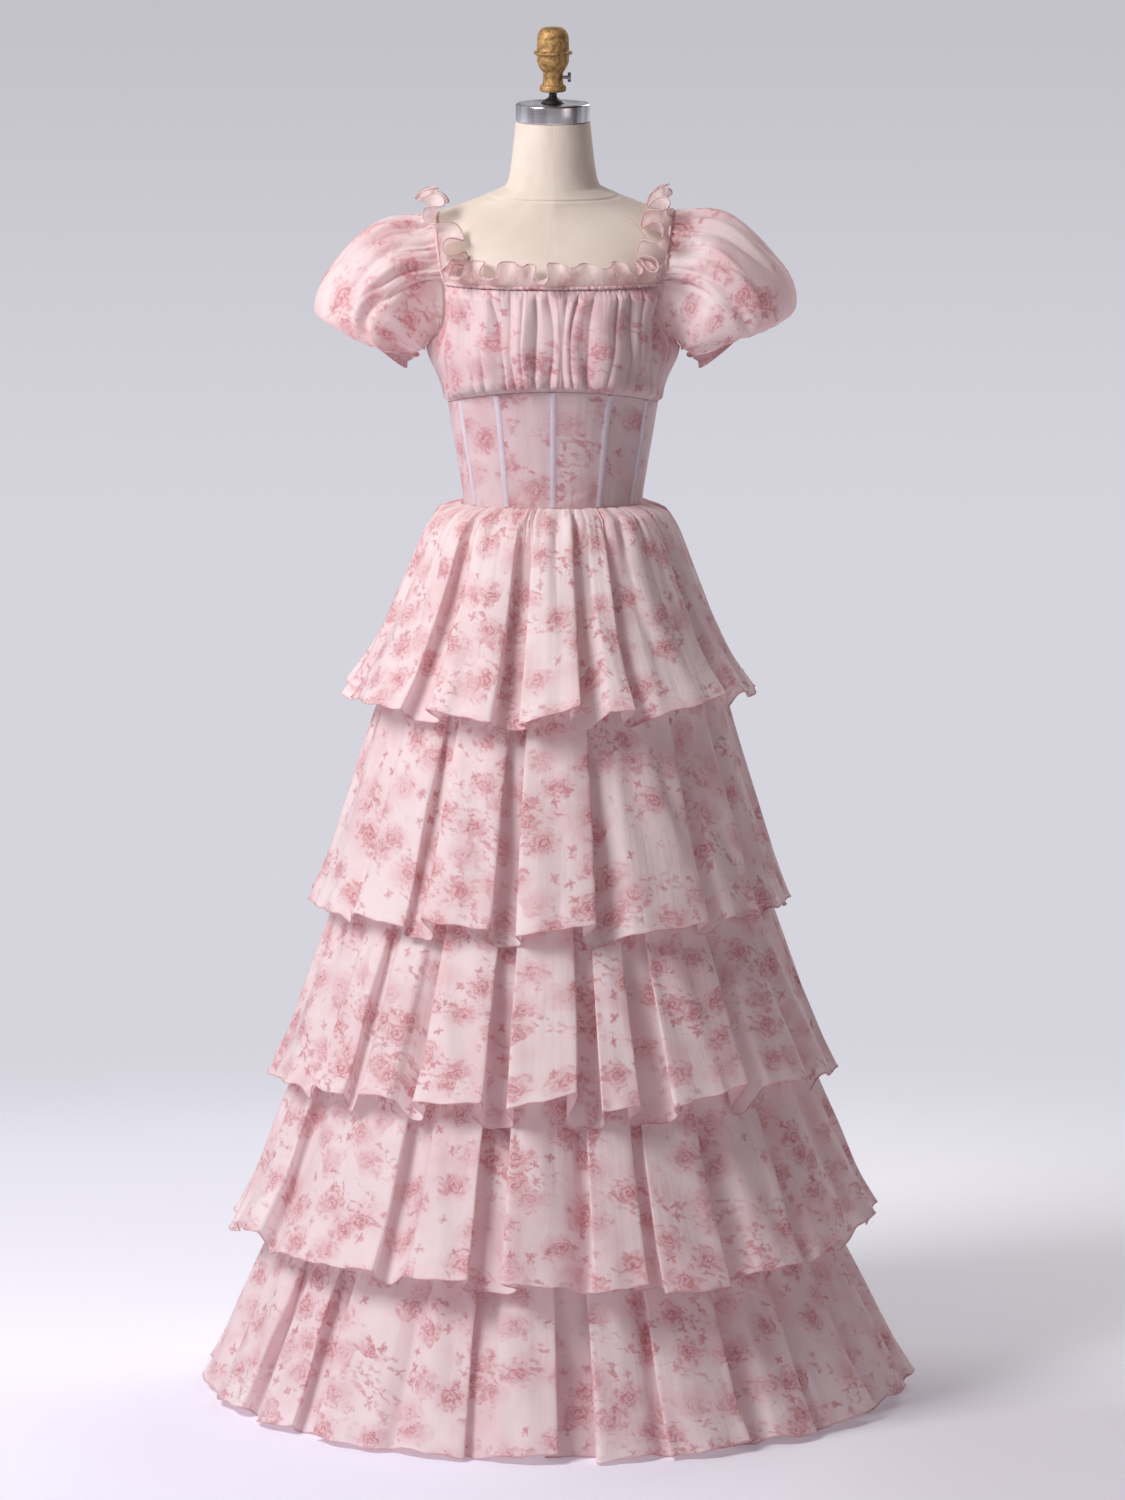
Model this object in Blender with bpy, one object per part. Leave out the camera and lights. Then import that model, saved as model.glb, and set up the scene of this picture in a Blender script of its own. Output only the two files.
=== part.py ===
"""A floor-length prom dress with five gathered tiers, worn by a limbless dress form on its stand.

Metres, +Z up. The origin is on the floor under the middle of the stand. The front faces -Y, and the wearer's left
is +X. Angles run round the vertical axis: 0 at the centre front, 90 at +X, 180 at the centre back.

The cloth is thin walls. Each wall is a grid of points on a form worked out from the figure, moved out by the
clearances below, and given its thickness along its own normals. The figure, the fold rows and the sleeve rings are
short tables; everything else follows from the named sizes.
"""

import math
from collections import namedtuple

import bmesh
import bpy
from mathutils import Matrix, Vector

# ---------------------------------------------------------------- driving dimensions
SEAM_GAP = 0.0003  # between two pieces at a seam
CLOTH = 0.0013  # wall of a cloth piece
WEAR_GAP = 0.0012  # between the figure and the cloth worn on it

TORSO_BOTTOM = 0.860
WAIST_Z = 1.138  # the waist seam at the sides
WAIST_RISE = 0.006  # and how much higher it runs at the centre front
UNDERBUST_Z = 1.268
UNDERBUST_RISE = 0.028
NECKLINE_Z = 1.424  # the elastic across the chest and the back
SHOULDER_Z = 1.5080  # the elastic on top of the shoulder
UNDERARM_Z = 1.345
NECK_TOP_Z = 1.622

CORNER_ANGLE = 60.0  # where the square neckline turns up to the shoulder
SEAM_ANGLES = (0.0, 30.0, 60.0, 90.0)  # the corset seams of one side, from the centre front
BONES = (
    ("bone_side_right", -60.0),
    ("bone_front_right", -30.0),
    ("bone_centre", 0.0),
    ("bone_front_left", 30.0),
    ("bone_side_left", 60.0),
)
ZIP_WIDTH = 0.0070  # the zip's chain, between the two back edges
ZIP_THICK = 0.0016
SLIDER_LENGTH = 0.0090
SLIDER_WIDTH = 0.0062
SLIDER_THICK = 0.0018
PULL_LENGTH = 0.0200
CORSET_ROWS = 4
BUST_ROWS = 4
BONE_WIDTH = 0.0075
BONE_THICK = 0.0010
BUST_PUFF = 0.0045  # how far the gathered bust stands off the figure, past WEAR_GAP

CASING_RADIUS = 0.0030
FRILL_HEIGHT = 0.028
STRAP_FRILL_HEIGHT = 0.042
FRILL_THICK = 0.0010
FRILL_WAVE = 0.0060
LEVEL_LEAN = 26.0  # how far the frill leans forward at the front and back at the back, in degrees
FRILLS = ("frill_back_right", "frill_right", "frill_front", "frill_left", "frill_back_left")
CUFF_LENGTH = 0.013
CUFF_COLUMNS = 24

POLE_RADIUS = 0.0125
COLUMN_RADIUS = 0.0165
BASE_RADIUS = 0.205
BASE_THICK = 0.010
COLUMN_TOP = 0.560
SLIDE_GAP = 0.0004  # radial play of the pole in its column and of the form on its pole

# ---------------------------------------------------------------- the figure
# power is the section's superellipse power: 2 is an ellipse, less is pointed at the shoulders.
Section = namedtuple("Section", "z half_width front back power")
FIGURE = (
    Section(0.860, 0.1560, 0.1160, 0.1240, 2.2),
    Section(0.930, 0.1660, 0.1240, 0.1300, 2.2),
    Section(1.000, 0.1560, 0.1200, 0.1210, 2.2),
    Section(1.060, 0.1340, 0.1080, 0.1050, 2.1),
    Section(1.100, 0.1180, 0.0980, 0.0940, 2.1),
    Section(1.138, 0.1108, 0.0925, 0.0885, 2.1),
    Section(1.190, 0.1172, 0.0970, 0.0920, 2.1),
    Section(1.230, 0.1240, 0.1030, 0.0960, 2.1),
    Section(1.268, 0.1300, 0.1110, 0.0990, 2.1),
    Section(1.300, 0.1352, 0.1190, 0.1010, 2.1),
    Section(1.340, 0.1418, 0.1240, 0.1040, 2.1),
    Section(1.380, 0.1432, 0.1180, 0.1060, 2.1),
    Section(1.420, 0.1490, 0.1050, 0.1060, 2.2),
    Section(1.450, 0.1600, 0.0920, 0.1030, 2.35),
    Section(1.475, 0.1660, 0.0790, 0.0950, 2.2),
    Section(1.492, 0.1620, 0.0690, 0.0850, 1.95),
    Section(1.502, 0.1530, 0.0640, 0.0770, 1.8),
    Section(1.510, 0.1370, 0.0615, 0.0720, 1.7),
    Section(1.517, 0.1180, 0.0600, 0.0680, 1.65),
    Section(1.523, 0.1030, 0.0590, 0.0650, 1.65),
    Section(1.529, 0.0870, 0.0575, 0.0620, 1.75),
    Section(1.535, 0.0720, 0.0560, 0.0595, 1.9),
    Section(1.541, 0.0600, 0.0548, 0.0570, 2.0),
    Section(1.560, 0.0540, 0.0515, 0.0530, 2.0),
    Section(1.590, 0.0502, 0.0490, 0.0500, 2.0),
    Section(1.622, 0.0467, 0.0467, 0.0467, 2.0),
)
BUST_LIFT = 0.009
BUST_ANGLE = 33.0
BUST_SPREAD = 17.0
BUST_Z = 1.330
BUST_TALL = 0.036

# ---------------------------------------------------------------- the skirt
# The foundation skirt: radius to the side, and how deep it is front to back as a share of that.
Ring = namedtuple("Ring", "z radius depth_share")
FOUNDATION = (
    Ring(1.138, 0.1122, 0.835),
    Ring(1.100, 0.1370, 0.860),
    Ring(1.050, 0.1620, 0.900),
    Ring(0.950, 0.1950, 0.970),
    Ring(0.690, 0.2480, 1.000),
    Ring(0.470, 0.2960, 1.000),
    Ring(0.265, 0.3320, 1.000),
    Ring(0.004, 0.3900, 1.000),
)

FOUNDATION_FREE_Z = 1.060  # above here the foundation follows the figure more and more, up to the waist
WAIST_GAP = 0.0006
MAX_STEP = 13.0  # the most degrees between two columns of a tier

# The five tiers, top to bottom. top and hem are heights at the sides, radius is at the crests of the hem, bell is
# the power of the way out from the top to the hem, depth is how far the troughs lie inside the crests, and swing is
# how far the hem hangs towards +X.
Tier = namedtuple("Tier", "top hem radius bell depth swing rows")
TIERS = (
    Tier(1.1377, 0.898, 0.2650, 0.66, 0.034, -0.004, 3),
    Tier(0.9450, 0.632, 0.3090, 0.88, 0.025, -0.004, 2),
    Tier(0.6850, 0.412, 0.3650, 0.86, 0.029, -0.001, 2),
    Tier(0.4650, 0.212, 0.4120, 0.74, 0.036, 0.000, 2),
    Tier(0.2620, 0.010, 0.4530, 0.86, 0.036, 0.007, 2),
)

# One row for each fold: where its crest begins and ends at the hem, in degrees, how deep the trough after it is as
# a share of the tier's depth, and how much lower than the tier's hem the crest hangs, in millimetres.
Fold = namedtuple("Fold", "start end trough drop")
FOLDS = (
    (
        Fold(-88, -47, 0.55, 2),
        Fold(-42, -16, 1.00, 8),
        Fold(-8, 10, 0.85, 2),
        Fold(17, 27, 0.70, 7),
        Fold(32, 62, 0.50, 4),
        Fold(69, 92, 0.80, -4),
        Fold(99, 121, 0.90, 6),
        Fold(128, 140, 0.70, 2),
        Fold(147, 171, 1.00, 7),
        Fold(179, 198, 0.80, 3),
        Fold(205, 217, 0.60, 6),
        Fold(223, 247, 0.90, 2),
        Fold(254, 266, 0.60, 0),
    ),
    (
        Fold(-90, -60, 0.45, -2),
        Fold(-56, -36, 0.60, 3),
        Fold(-32, -14, 1.00, 4),
        Fold(-8, 12, 0.95, 6),
        Fold(19, 41, 0.75, 3),
        Fold(47, 60, 0.60, 0),
        Fold(66, 90, 0.70, -3),
        Fold(97, 114, 0.90, 4),
        Fold(121, 143, 0.80, 2),
        Fold(149, 161, 0.60, 5),
        Fold(168, 190, 1.00, 3),
        Fold(197, 210, 0.70, 1),
        Fold(216, 238, 0.90, 5),
        Fold(245, 264, 0.60, 0),
    ),
    (
        Fold(-91, -68, 0.60, -2),
        Fold(-63, -50, 0.60, 1),
        Fold(-46, -34, 0.55, 2),
        Fold(-30, -14, 1.00, 4),
        Fold(-9, 6, 0.90, 1),
        Fold(10, 17, 0.60, 5),
        Fold(24, 42, 0.90, 2),
        Fold(48, 66, 0.55, 0),
        Fold(72, 92, 0.80, -3),
        Fold(99, 112, 0.70, 4),
        Fold(118, 138, 0.90, 2),
        Fold(145, 157, 0.60, 5),
        Fold(163, 182, 0.95, 1),
        Fold(189, 203, 0.70, 4),
        Fold(209, 228, 0.90, 2),
        Fold(235, 262, 0.60, 1),
    ),
    (
        Fold(-92, -70, 0.80, -8),
        Fold(-64, -32, 0.70, 5),
        Fold(-27, -15, 0.80, 3),
        Fold(-9, 4, 1.00, 10),
        Fold(7, 17, 0.50, 12),
        Fold(20, 33, 0.90, 8),
        Fold(39, 50, 0.60, -2),
        Fold(55, 70, 0.80, -5),
        Fold(76, 91, 0.70, -12),
        Fold(98, 117, 0.80, 4),
        Fold(123, 134, 0.60, 6),
        Fold(140, 161, 0.95, 2),
        Fold(168, 180, 0.70, 7),
        Fold(186, 207, 0.90, 1),
        Fold(213, 224, 0.60, 5),
        Fold(230, 247, 0.80, 2),
        Fold(253, 263, 0.60, -2),
    ),
    (
        Fold(-91, -64, 0.70, 0),
        Fold(-60, -48, 0.70, 3),
        Fold(-43, -30, 0.60, 1),
        Fold(-26, -15, 0.60, 3),
        Fold(-11, 0, 1.00, 4),
        Fold(6, 15, 0.60, 5),
        Fold(18, 32, 0.90, 3),
        Fold(37, 46, 0.60, 0),
        Fold(50, 64, 0.70, 3),
        Fold(69, 92, 0.80, 0),
        Fold(98, 110, 0.60, 4),
        Fold(116, 134, 0.90, 2),
        Fold(140, 152, 0.70, 4),
        Fold(158, 177, 0.95, 1),
        Fold(183, 196, 0.70, 4),
        Fold(202, 222, 0.90, 2),
        Fold(228, 241, 0.60, 4),
        Fold(247, 263, 0.70, 0),
    ),
)

# ---------------------------------------------------------------- the puff sleeve
# Each ring runs round the arm from its outer point to its inner one, both in the X-Z plane, and is this deep.
SleeveRing = namedtuple("SleeveRing", "outer_x outer_z inner_x inner_z half_depth")
SLEEVE = (
    SleeveRing(0.2050, 1.5100, 0.1535, 1.3370, 0.080),
    SleeveRing(0.2480, 1.4820, 0.1550, 1.3310, 0.096),
    SleeveRing(0.2860, 1.4420, 0.1580, 1.3260, 0.100),
    SleeveRing(0.3050, 1.4080, 0.1620, 1.3220, 0.094),
    SleeveRing(0.2970, 1.3860, 0.1660, 1.3190, 0.078),
    SleeveRing(0.2690, 1.3740, 0.1710, 1.3160, 0.060),
    SleeveRing(0.2385, 1.3670, 0.1790, 1.3140, 0.041),
)
SLEEVE_COLUMNS = 28
SLEEVE_RIPPLE = 0.0040
ARMHOLE_COVER = 1.06  # how much deeper the sleeve's edge is than the armhole that it covers

# ---------------------------------------------------------------- the finial
Turn = namedtuple("Turn", "z radius")
FINIAL = (
    Turn(1.6590, 0.0090),
    Turn(1.6600, 0.0158),
    Turn(1.6660, 0.0166),
    Turn(1.6690, 0.0132),
    Turn(1.6720, 0.0120),
    Turn(1.6830, 0.0116),
    Turn(1.6880, 0.0140),
    Turn(1.6960, 0.0184),
    Turn(1.7055, 0.0206),
    Turn(1.7070, 0.0240),
    Turn(1.7095, 0.0240),
    Turn(1.7110, 0.0214),
    Turn(1.7240, 0.0202),
    Turn(1.7320, 0.0178),
    Turn(1.7385, 0.0120),
    Turn(1.7410, 0.0060),
)

# ---------------------------------------------------------------- finishes
Finish = namedtuple("Finish", "name colour roughness metallic")
ORGANZA = Finish("printed_organza", (0.86, 0.66, 0.70, 1.0), 0.55, 0.0)
BONING = Finish("boning_ribbon", (0.50, 0.40, 0.48, 1.0), 0.40, 0.0)
LINEN = Finish("linen_cover", (0.72, 0.60, 0.52, 1.0), 0.85, 0.0)
STEEL = Finish("polished_steel", (0.42, 0.42, 0.44, 1.0), 0.22, 1.0)
BRASS = Finish("aged_brass_paint", (0.33, 0.20, 0.08, 1.0), 0.40, 0.7)
BLACK = Finish("black_steel", (0.02, 0.02, 0.02, 1.0), 0.45, 0.5)
ZIP = Finish("zip_coil", (0.62, 0.40, 0.44, 1.0), 0.45, 0.0)


# ---------------------------------------------------------------- small tools
def clear_scene():
    """Removes what the file opened with."""
    for obj in list(bpy.data.objects):
        bpy.data.objects.remove(obj, do_unlink=True)


def material(finish):
    """The Principled material of a finish, made once."""
    made = bpy.data.materials.get(finish.name)
    if made is None:
        made = bpy.data.materials.new(finish.name)
        made.use_nodes = True
        shader = made.node_tree.nodes["Principled BSDF"]
        shader.inputs["Base Color"].default_value = finish.colour
        shader.inputs["Roughness"].default_value = finish.roughness
        shader.inputs["Metallic"].default_value = finish.metallic
    return made


def add_object(name, points, faces, finish, origin=(0.0, 0.0, 0.0)):
    """A mesh object with its faces turned outwards and its origin where asked."""
    mesh = bpy.data.meshes.new(name)
    origin = Vector(origin)
    mesh.from_pydata([Vector(p) - origin for p in points], [], faces)
    shape = bmesh.new()
    shape.from_mesh(mesh)
    bmesh.ops.recalc_face_normals(shape, faces=shape.faces)
    shape.to_mesh(mesh)
    shape.free()
    mesh.shade_smooth()
    mesh.set_sharp_from_angle(angle=math.radians(40))
    mesh.materials.append(material(finish))
    obj = bpy.data.objects.new(name, mesh)
    obj.location = origin
    bpy.context.scene.collection.objects.link(obj)
    return obj


def between(rows, column, at):
    """The column's value at this z, on a smooth curve through the rows, whichever way z runs."""
    ordered = sorted(rows, key=lambda row: row.z)
    zs = [row.z for row in ordered]
    values = [getattr(row, column) for row in ordered]
    if at <= zs[0]:
        return values[0]
    if at >= zs[-1]:
        return values[-1]
    i = max(k for k in range(len(zs) - 1) if zs[k] <= at)
    span = zs[i + 1] - zs[i]
    t = (at - zs[i]) / span
    slopes = []
    for k in (i, i + 1):
        low, high = max(k - 1, 0), min(k + 1, len(zs) - 1)
        slopes.append((values[high] - values[low]) / (zs[high] - zs[low]) * span)
    t2, t3 = t * t, t * t * t
    return (
        (2 * t3 - 3 * t2 + 1) * values[i]
        + (t3 - 2 * t2 + t) * slopes[0]
        + (3 * t2 - 2 * t3) * values[i + 1]
        + (t3 - t2) * slopes[1]
    )


def signed_power(value, power):
    """The value's size to a power, with the value's own sign."""
    return math.copysign(abs(value) ** power, value)


def mix(a, b, share):
    """The value this share of the way from a to b."""
    return a + (b - a) * share


def spread(first, last, count):
    """count + 1 values from first to last."""
    return [mix(first, last, i / count) for i in range(count + 1)]


def normals_of(grid, closed):
    """The unit normal at each point of a grid of rows, by its neighbours."""
    rows, columns = len(grid), len(grid[0])
    found = []
    for j in range(rows):
        line = []
        for i in range(columns):
            before = (i - 1) % columns if closed else max(i - 1, 0)
            after = (i + 1) % columns if closed else min(i + 1, columns - 1)
            along = grid[j][after] - grid[j][before]
            down = grid[min(j + 1, rows - 1)][i] - grid[max(j - 1, 0)][i]
            line.append(along.cross(down).normalized())
        found.append(line)
    return found


def seamed(line, gap=SEAM_GAP):
    """The line with each end drawn back along it by half the gap of a seam."""
    first = line[0] + (line[1] - line[0]).normalized() * gap / 2
    last = line[-1] + (line[-2] - line[-1]).normalized() * gap / 2
    return [first, *line[1:-1], last]


def lined(grid, closed=False, thick=CLOTH):
    """The inner points of a wall whose outer points are the grid, along its own normals."""
    return [
        [point + normal * thick for point, normal in zip(row, normal_row)]
        for row, normal_row in zip(grid, normals_of(grid, closed))
    ]


def cloth_wall(name, outer, inner, closed=False, finish=ORGANZA):
    """A wall of cloth between two grids of points, row by row from the top, left to right seen from outside.

    Both grids are cut into triangles along the same diagonals, so a twisted wall keeps its thickness.
    """
    rows, columns = len(outer), len(outer[0])
    points = [p for row in outer for p in row] + [p for row in inner for p in row]
    back = rows * columns

    def at(j, i):
        return j * columns + i % columns

    faces = []
    last = columns if closed else columns - 1
    for i in range(last):
        for j in range(rows - 1):
            upper_left, upper_right = at(j, i), at(j, i + 1)
            lower_left, lower_right = at(j + 1, i), at(j + 1, i + 1)
            for half in ((upper_left, upper_right, lower_left), (upper_right, lower_right, lower_left)):
                faces.append(half)
                faces.append(tuple(back + k for k in reversed(half)))
        for j in (0, rows - 1):
            faces.append((at(j, i), at(j, i + 1), back + at(j, i + 1), back + at(j, i)))
    if not closed:
        for j in range(rows - 1):
            for i in (0, columns - 1):
                faces.append((at(j, i), at(j + 1, i), back + at(j + 1, i), back + at(j, i)))
    return add_object(name, points, faces, finish)


def turned(name, turns, segments, finish):
    """A solid of revolution round a vertical axis, closed at both ends."""
    points, faces = [], []
    for turn in turns:
        for i in range(segments):
            angle = 2 * math.pi * i / segments
            points.append((turn.radius * math.sin(angle), -turn.radius * math.cos(angle), turn.z))
    for j in range(len(turns) - 1):
        for i in range(segments):
            k = (i + 1) % segments
            faces.append((j * segments + i, j * segments + k, (j + 1) * segments + k, (j + 1) * segments + i))
    faces.append(tuple(range(segments)))
    faces.append(tuple((len(turns) - 1) * segments + i for i in range(segments)))
    return add_object(name, points, faces, finish)


def tube(name, outer, inner, low, high, segments, finish):
    """An upright tube, open at both ends."""
    points, faces = [], []
    for z in (low, high):
        for radius in (outer, inner):
            for i in range(segments):
                angle = 2 * math.pi * i / segments
                points.append((radius * math.sin(angle), -radius * math.cos(angle), z))
    low_out, low_in, high_out, high_in = (k * segments for k in range(4))
    for i in range(segments):
        k = (i + 1) % segments
        faces.append((low_out + i, low_out + k, high_out + k, high_out + i))
        faces.append((low_in + i, low_in + k, high_in + k, high_in + i))
        faces.append((low_out + i, low_out + k, low_in + k, low_in + i))
        faces.append((high_out + i, high_out + k, high_in + k, high_in + i))
    return add_object(name, points, faces, finish)


def join_solids(name, parts, finish, origin=(0.0, 0.0, 0.0)):
    """One solid from several that overlap, with its origin where asked."""
    first = parts[0]
    for other in parts[1:]:
        union = first.modifiers.new(f"join_{other.name}", "BOOLEAN")
        union.operation = "UNION"
        union.object = other
        other.hide_render = True
        other.display_type = "WIRE"
    bpy.context.view_layer.update()
    graph = bpy.context.evaluated_depsgraph_get()
    mesh = bpy.data.meshes.new_from_object(first.evaluated_get(graph))
    mesh.transform(first.matrix_world)
    mesh.transform(Matrix.Translation(-Vector(origin)))
    made = bpy.data.objects.new(name, mesh)
    made.location = origin
    mesh.materials.clear()
    mesh.materials.append(material(finish))
    bpy.context.scene.collection.objects.link(made)
    for part in parts:
        bpy.data.objects.remove(part, do_unlink=True)
    made.name = name
    return made


# ---------------------------------------------------------------- the figure and the dress form
def bust_lift(angle, z):
    """How far the cups stand out from the plain section."""
    side = abs((angle + 180) % 360 - 180) - BUST_ANGLE
    return BUST_LIFT * math.exp(-((side / BUST_SPREAD) ** 2) - ((z - BUST_Z) / BUST_TALL) ** 2)


def figure_point(angle, z, out=0.0):
    """A point on the figure at this angle and height, moved out by a clearance."""
    power = 2.0 / between(FIGURE, "power", z)
    sine, cosine = math.sin(math.radians(angle)), math.cos(math.radians(angle))
    out += bust_lift(angle, z)
    wide = between(FIGURE, "half_width", z) + out
    deep = between(FIGURE, "front" if cosine > 0 else "back", z) + out
    return Vector((wide * signed_power(sine, power), -deep * signed_power(cosine, power), z))


def off_figure(point):
    """About how far a point is from the figure, and the direction straight away from it."""

    def share(x, y, z):
        power = between(FIGURE, "power", z)
        wide = between(FIGURE, "half_width", z)
        deep = between(FIGURE, "front" if y < 0 else "back", z)
        return ((abs(x) / wide) ** power + (abs(y) / deep) ** power) ** (1 / power)

    step = 0.0005
    here = share(*point)
    slope = Vector(
        (
            share(point.x + step, point.y, point.z) - share(point.x - step, point.y, point.z),
            share(point.x, point.y + step, point.z) - share(point.x, point.y - step, point.z),
            share(point.x, point.y, point.z + step) - share(point.x, point.y, point.z - step),
        )
    ) / (2 * step)
    return (here - 1.0) / slope.length, slope.normalized()


def stand_off(point, out):
    """The point moved straight to or from the figure until it stands this far off it."""
    for _ in range(4):
        distance, away = off_figure(point)
        point = point + away * (out - distance)
    return point


def make_torso():
    """The linen-covered torso, from its flat bottom to the top of its neck."""
    half = [*spread(0, 90, 9)[:-1], *spread(90, 180, 6)]
    stations = half[:-1] + [360 - a for a in reversed(half[1:])]
    below = (TORSO_BOTTOM, 0.900, 0.950, 1.000, 1.040, 1.075, 1.105)
    above = (1.448, 1.470, 1.484, 1.494, 1.502, 1.509, 1.516, 1.522, 1.528, 1.535, 1.546, 1.570, 1.596)
    columns = []
    for angle in stations:
        waist, underbust, top = waist_z(angle), underbust_z(angle), armhole_z(angle)
        heights = [*below, *spread(waist, underbust, CORSET_ROWS), *spread(underbust, top, BUST_ROWS)[1:]]
        if top < NECKLINE_Z - 0.010:
            heights[-1] = mix(top, NECKLINE_Z, 0.3)
        heights += [*above, NECK_TOP_Z - SEAM_GAP]
        columns.append([figure_point(angle, z) for z in heights])
    levels = len(columns[0])
    points = [column[level] for level in range(levels) for column in columns]
    count = len(stations)
    faces = []
    for j in range(levels - 1):
        for i in range(count):
            k = (i + 1) % count
            faces.append((j * count + i, j * count + k, (j + 1) * count + k, (j + 1) * count + i))
    faces.append(tuple(range(count)))
    faces.append(tuple((levels - 1) * count + i for i in range(count)))
    add_object("form_torso", points, faces, LINEN)


def make_neck_fittings():
    """The steel neck cap, the boss and stud on it, the finial clamped on the stud, and its thumbscrew."""
    cap_radius = 0.0468
    cap = (
        Turn(NECK_TOP_Z, cap_radius - 0.0008),
        Turn(NECK_TOP_Z + 0.0008, cap_radius),
        Turn(NECK_TOP_Z + 0.0215, cap_radius),
        Turn(NECK_TOP_Z + 0.0230, cap_radius - 0.0015),
    )
    turned("neck_cap", cap, 40, STEEL)
    base = NECK_TOP_Z + 0.0230 + SEAM_GAP
    stud_radius = 0.0050
    boss = (
        Turn(base, 0.0150),
        Turn(base + 0.0030, 0.0125),
        Turn(base + 0.0060, 0.0070),
        Turn(base + 0.0085, stud_radius),
        Turn(FINIAL[0].z - SEAM_GAP, stud_radius),
    )
    turned("finial_boss", boss, 24, BLACK)
    blank = turned("finial_blank", FINIAL, 24, BRASS)
    screw_z = 1.6775
    hole = add_rod("screw_hole", screw_z, 0.0046, 0.0300, 0.0026, BRASS)
    cut = blank.modifiers.new("screw_hole", "BOOLEAN")
    cut.operation = "DIFFERENCE"
    cut.object = hole
    bake_cut("finial", blank, hole, BRASS)
    shank = add_rod("screw_shank", screw_z, 0.0052, 0.0205, 0.0022, STEEL)
    knob = add_rod("screw_knob", screw_z, 0.0185, 0.0225, 0.0062, STEEL)
    join_solids("thumb_screw", [shank, knob], STEEL, origin=(0.0125, 0.0, screw_z))


def add_rod(name, z, start, end, radius, finish, segments=16):
    """A rod along +X at this height."""
    points, faces = [], []
    for x in (start, end):
        for i in range(segments):
            angle = 2 * math.pi * i / segments
            points.append((x, radius * math.cos(angle), z + radius * math.sin(angle)))
    for i in range(segments):
        k = (i + 1) % segments
        faces.append((i, k, segments + k, segments + i))
    faces.append(tuple(range(segments)))
    faces.append(tuple(segments + i for i in range(segments)))
    return add_object(name, points, faces, finish)


def bake_cut(name, blank, cutter, finish):
    """The blank with its cutter's shape taken out, as a plain mesh."""
    bpy.context.view_layer.update()
    graph = bpy.context.evaluated_depsgraph_get()
    mesh = bpy.data.meshes.new_from_object(blank.evaluated_get(graph))
    mesh.materials.clear()
    mesh.materials.append(material(finish))
    bpy.data.objects.remove(blank, do_unlink=True)
    bpy.data.objects.remove(cutter, do_unlink=True)
    made = bpy.data.objects.new(name, mesh)
    bpy.context.scene.collection.objects.link(made)
    return made


def make_stand():
    """The round base, its column, the clamp collar, the pole that slides in it and the flange the form turns on."""
    edge = 0.003
    turned(
        "stand_base",
        (Turn(0.0, BASE_RADIUS), Turn(BASE_THICK - edge, BASE_RADIUS), Turn(BASE_THICK, BASE_RADIUS - edge)),
        48,
        BLACK,
    )
    bore = POLE_RADIUS + SLIDE_GAP
    foot = BASE_THICK + SEAM_GAP
    tube("stand_column", COLUMN_RADIUS, bore, foot, COLUMN_TOP, 24, BLACK)
    tube("stand_collar", COLUMN_RADIUS + 0.006, bore, COLUMN_TOP + SEAM_GAP, COLUMN_TOP + 0.030, 24, STEEL)
    flange_low = TORSO_BOTTOM - 0.030
    pole_top = TORSO_BOTTOM - 0.004
    turned("stand_pole", (Turn(0.300, POLE_RADIUS), Turn(pole_top, POLE_RADIUS)), 24, STEEL)
    socket = pole_top + SLIDE_GAP
    hub = 0.024
    wide = 0.060
    profile = (
        (flange_low, POLE_RADIUS + SLIDE_GAP, hub),
        (TORSO_BOTTOM - 0.010, POLE_RADIUS + SLIDE_GAP, hub),
        (TORSO_BOTTOM - 0.008, POLE_RADIUS + SLIDE_GAP, wide),
        (socket, POLE_RADIUS + SLIDE_GAP, wide),
    )
    segments = 24
    points, faces = [], []
    for z, inner, outer in profile:
        for radius in (inner, outer):
            for i in range(segments):
                angle = 2 * math.pi * i / segments
                points.append((radius * math.sin(angle), -radius * math.cos(angle), z))
    top = TORSO_BOTTOM - SEAM_GAP
    for i in range(segments):
        angle = 2 * math.pi * i / segments
        points.append((wide * math.sin(angle), -wide * math.cos(angle), top))
    for level in range(len(profile) - 1):
        for i in range(segments):
            k = (i + 1) % segments
            for side in (0, 1):
                low = (level * 2 + side) * segments
                high = ((level + 1) * 2 + side) * segments
                faces.append((low + i, low + k, high + k, high + i))
    for i in range(segments):
        k = (i + 1) % segments
        faces.append((i, k, segments + k, segments + i))
        low = (2 * len(profile) - 1) * segments
        high = 2 * len(profile) * segments
        faces.append((low + i, low + k, high + k, high + i))
    ceiling = (2 * len(profile) - 2) * segments
    faces.append(tuple(ceiling + i for i in range(segments)))
    faces.append(tuple(2 * len(profile) * segments + i for i in range(segments)))
    add_object("form_flange", points, faces, BLACK)


# ---------------------------------------------------------------- the bodice
def waist_z(angle):
    """The height of the waist seam."""
    return WAIST_Z + WAIST_RISE * max(math.cos(math.radians(angle)), 0.0)


def underbust_z(angle):
    """The height of the seam under the bust, which rises to the centre front."""
    front = max(math.cos(math.radians(angle)), 0.0)
    return UNDERBUST_Z + UNDERBUST_RISE * front**1.5


def armhole_z(angle):
    """The height of the bodice's top edge: level across the front and back, and cut down under the arm."""
    level = NECKLINE_Z - CASING_RADIUS - SEAM_GAP
    from_side = abs(abs((angle + 180) % 360 - 180) - 90)
    share = min(from_side / (90 - CORNER_ANGLE), 1.0)
    return UNDERARM_Z + (level - UNDERARM_Z) * (1 - math.sqrt(max(1 - share**2, 0.0)))


def corset_out(z):
    """The clearance of the corset's inside from the figure, closest at the waist seam that carries it."""
    share = min((z - WAIST_Z) / 0.030, 1.0)
    return mix(0.0005, WEAR_GAP, max(share, 0.0))


def angle_of(width, z):
    """The angle that a width takes up at the centre of the front or the back."""
    return math.degrees(width / between(FIGURE, "half_width", z))


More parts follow.
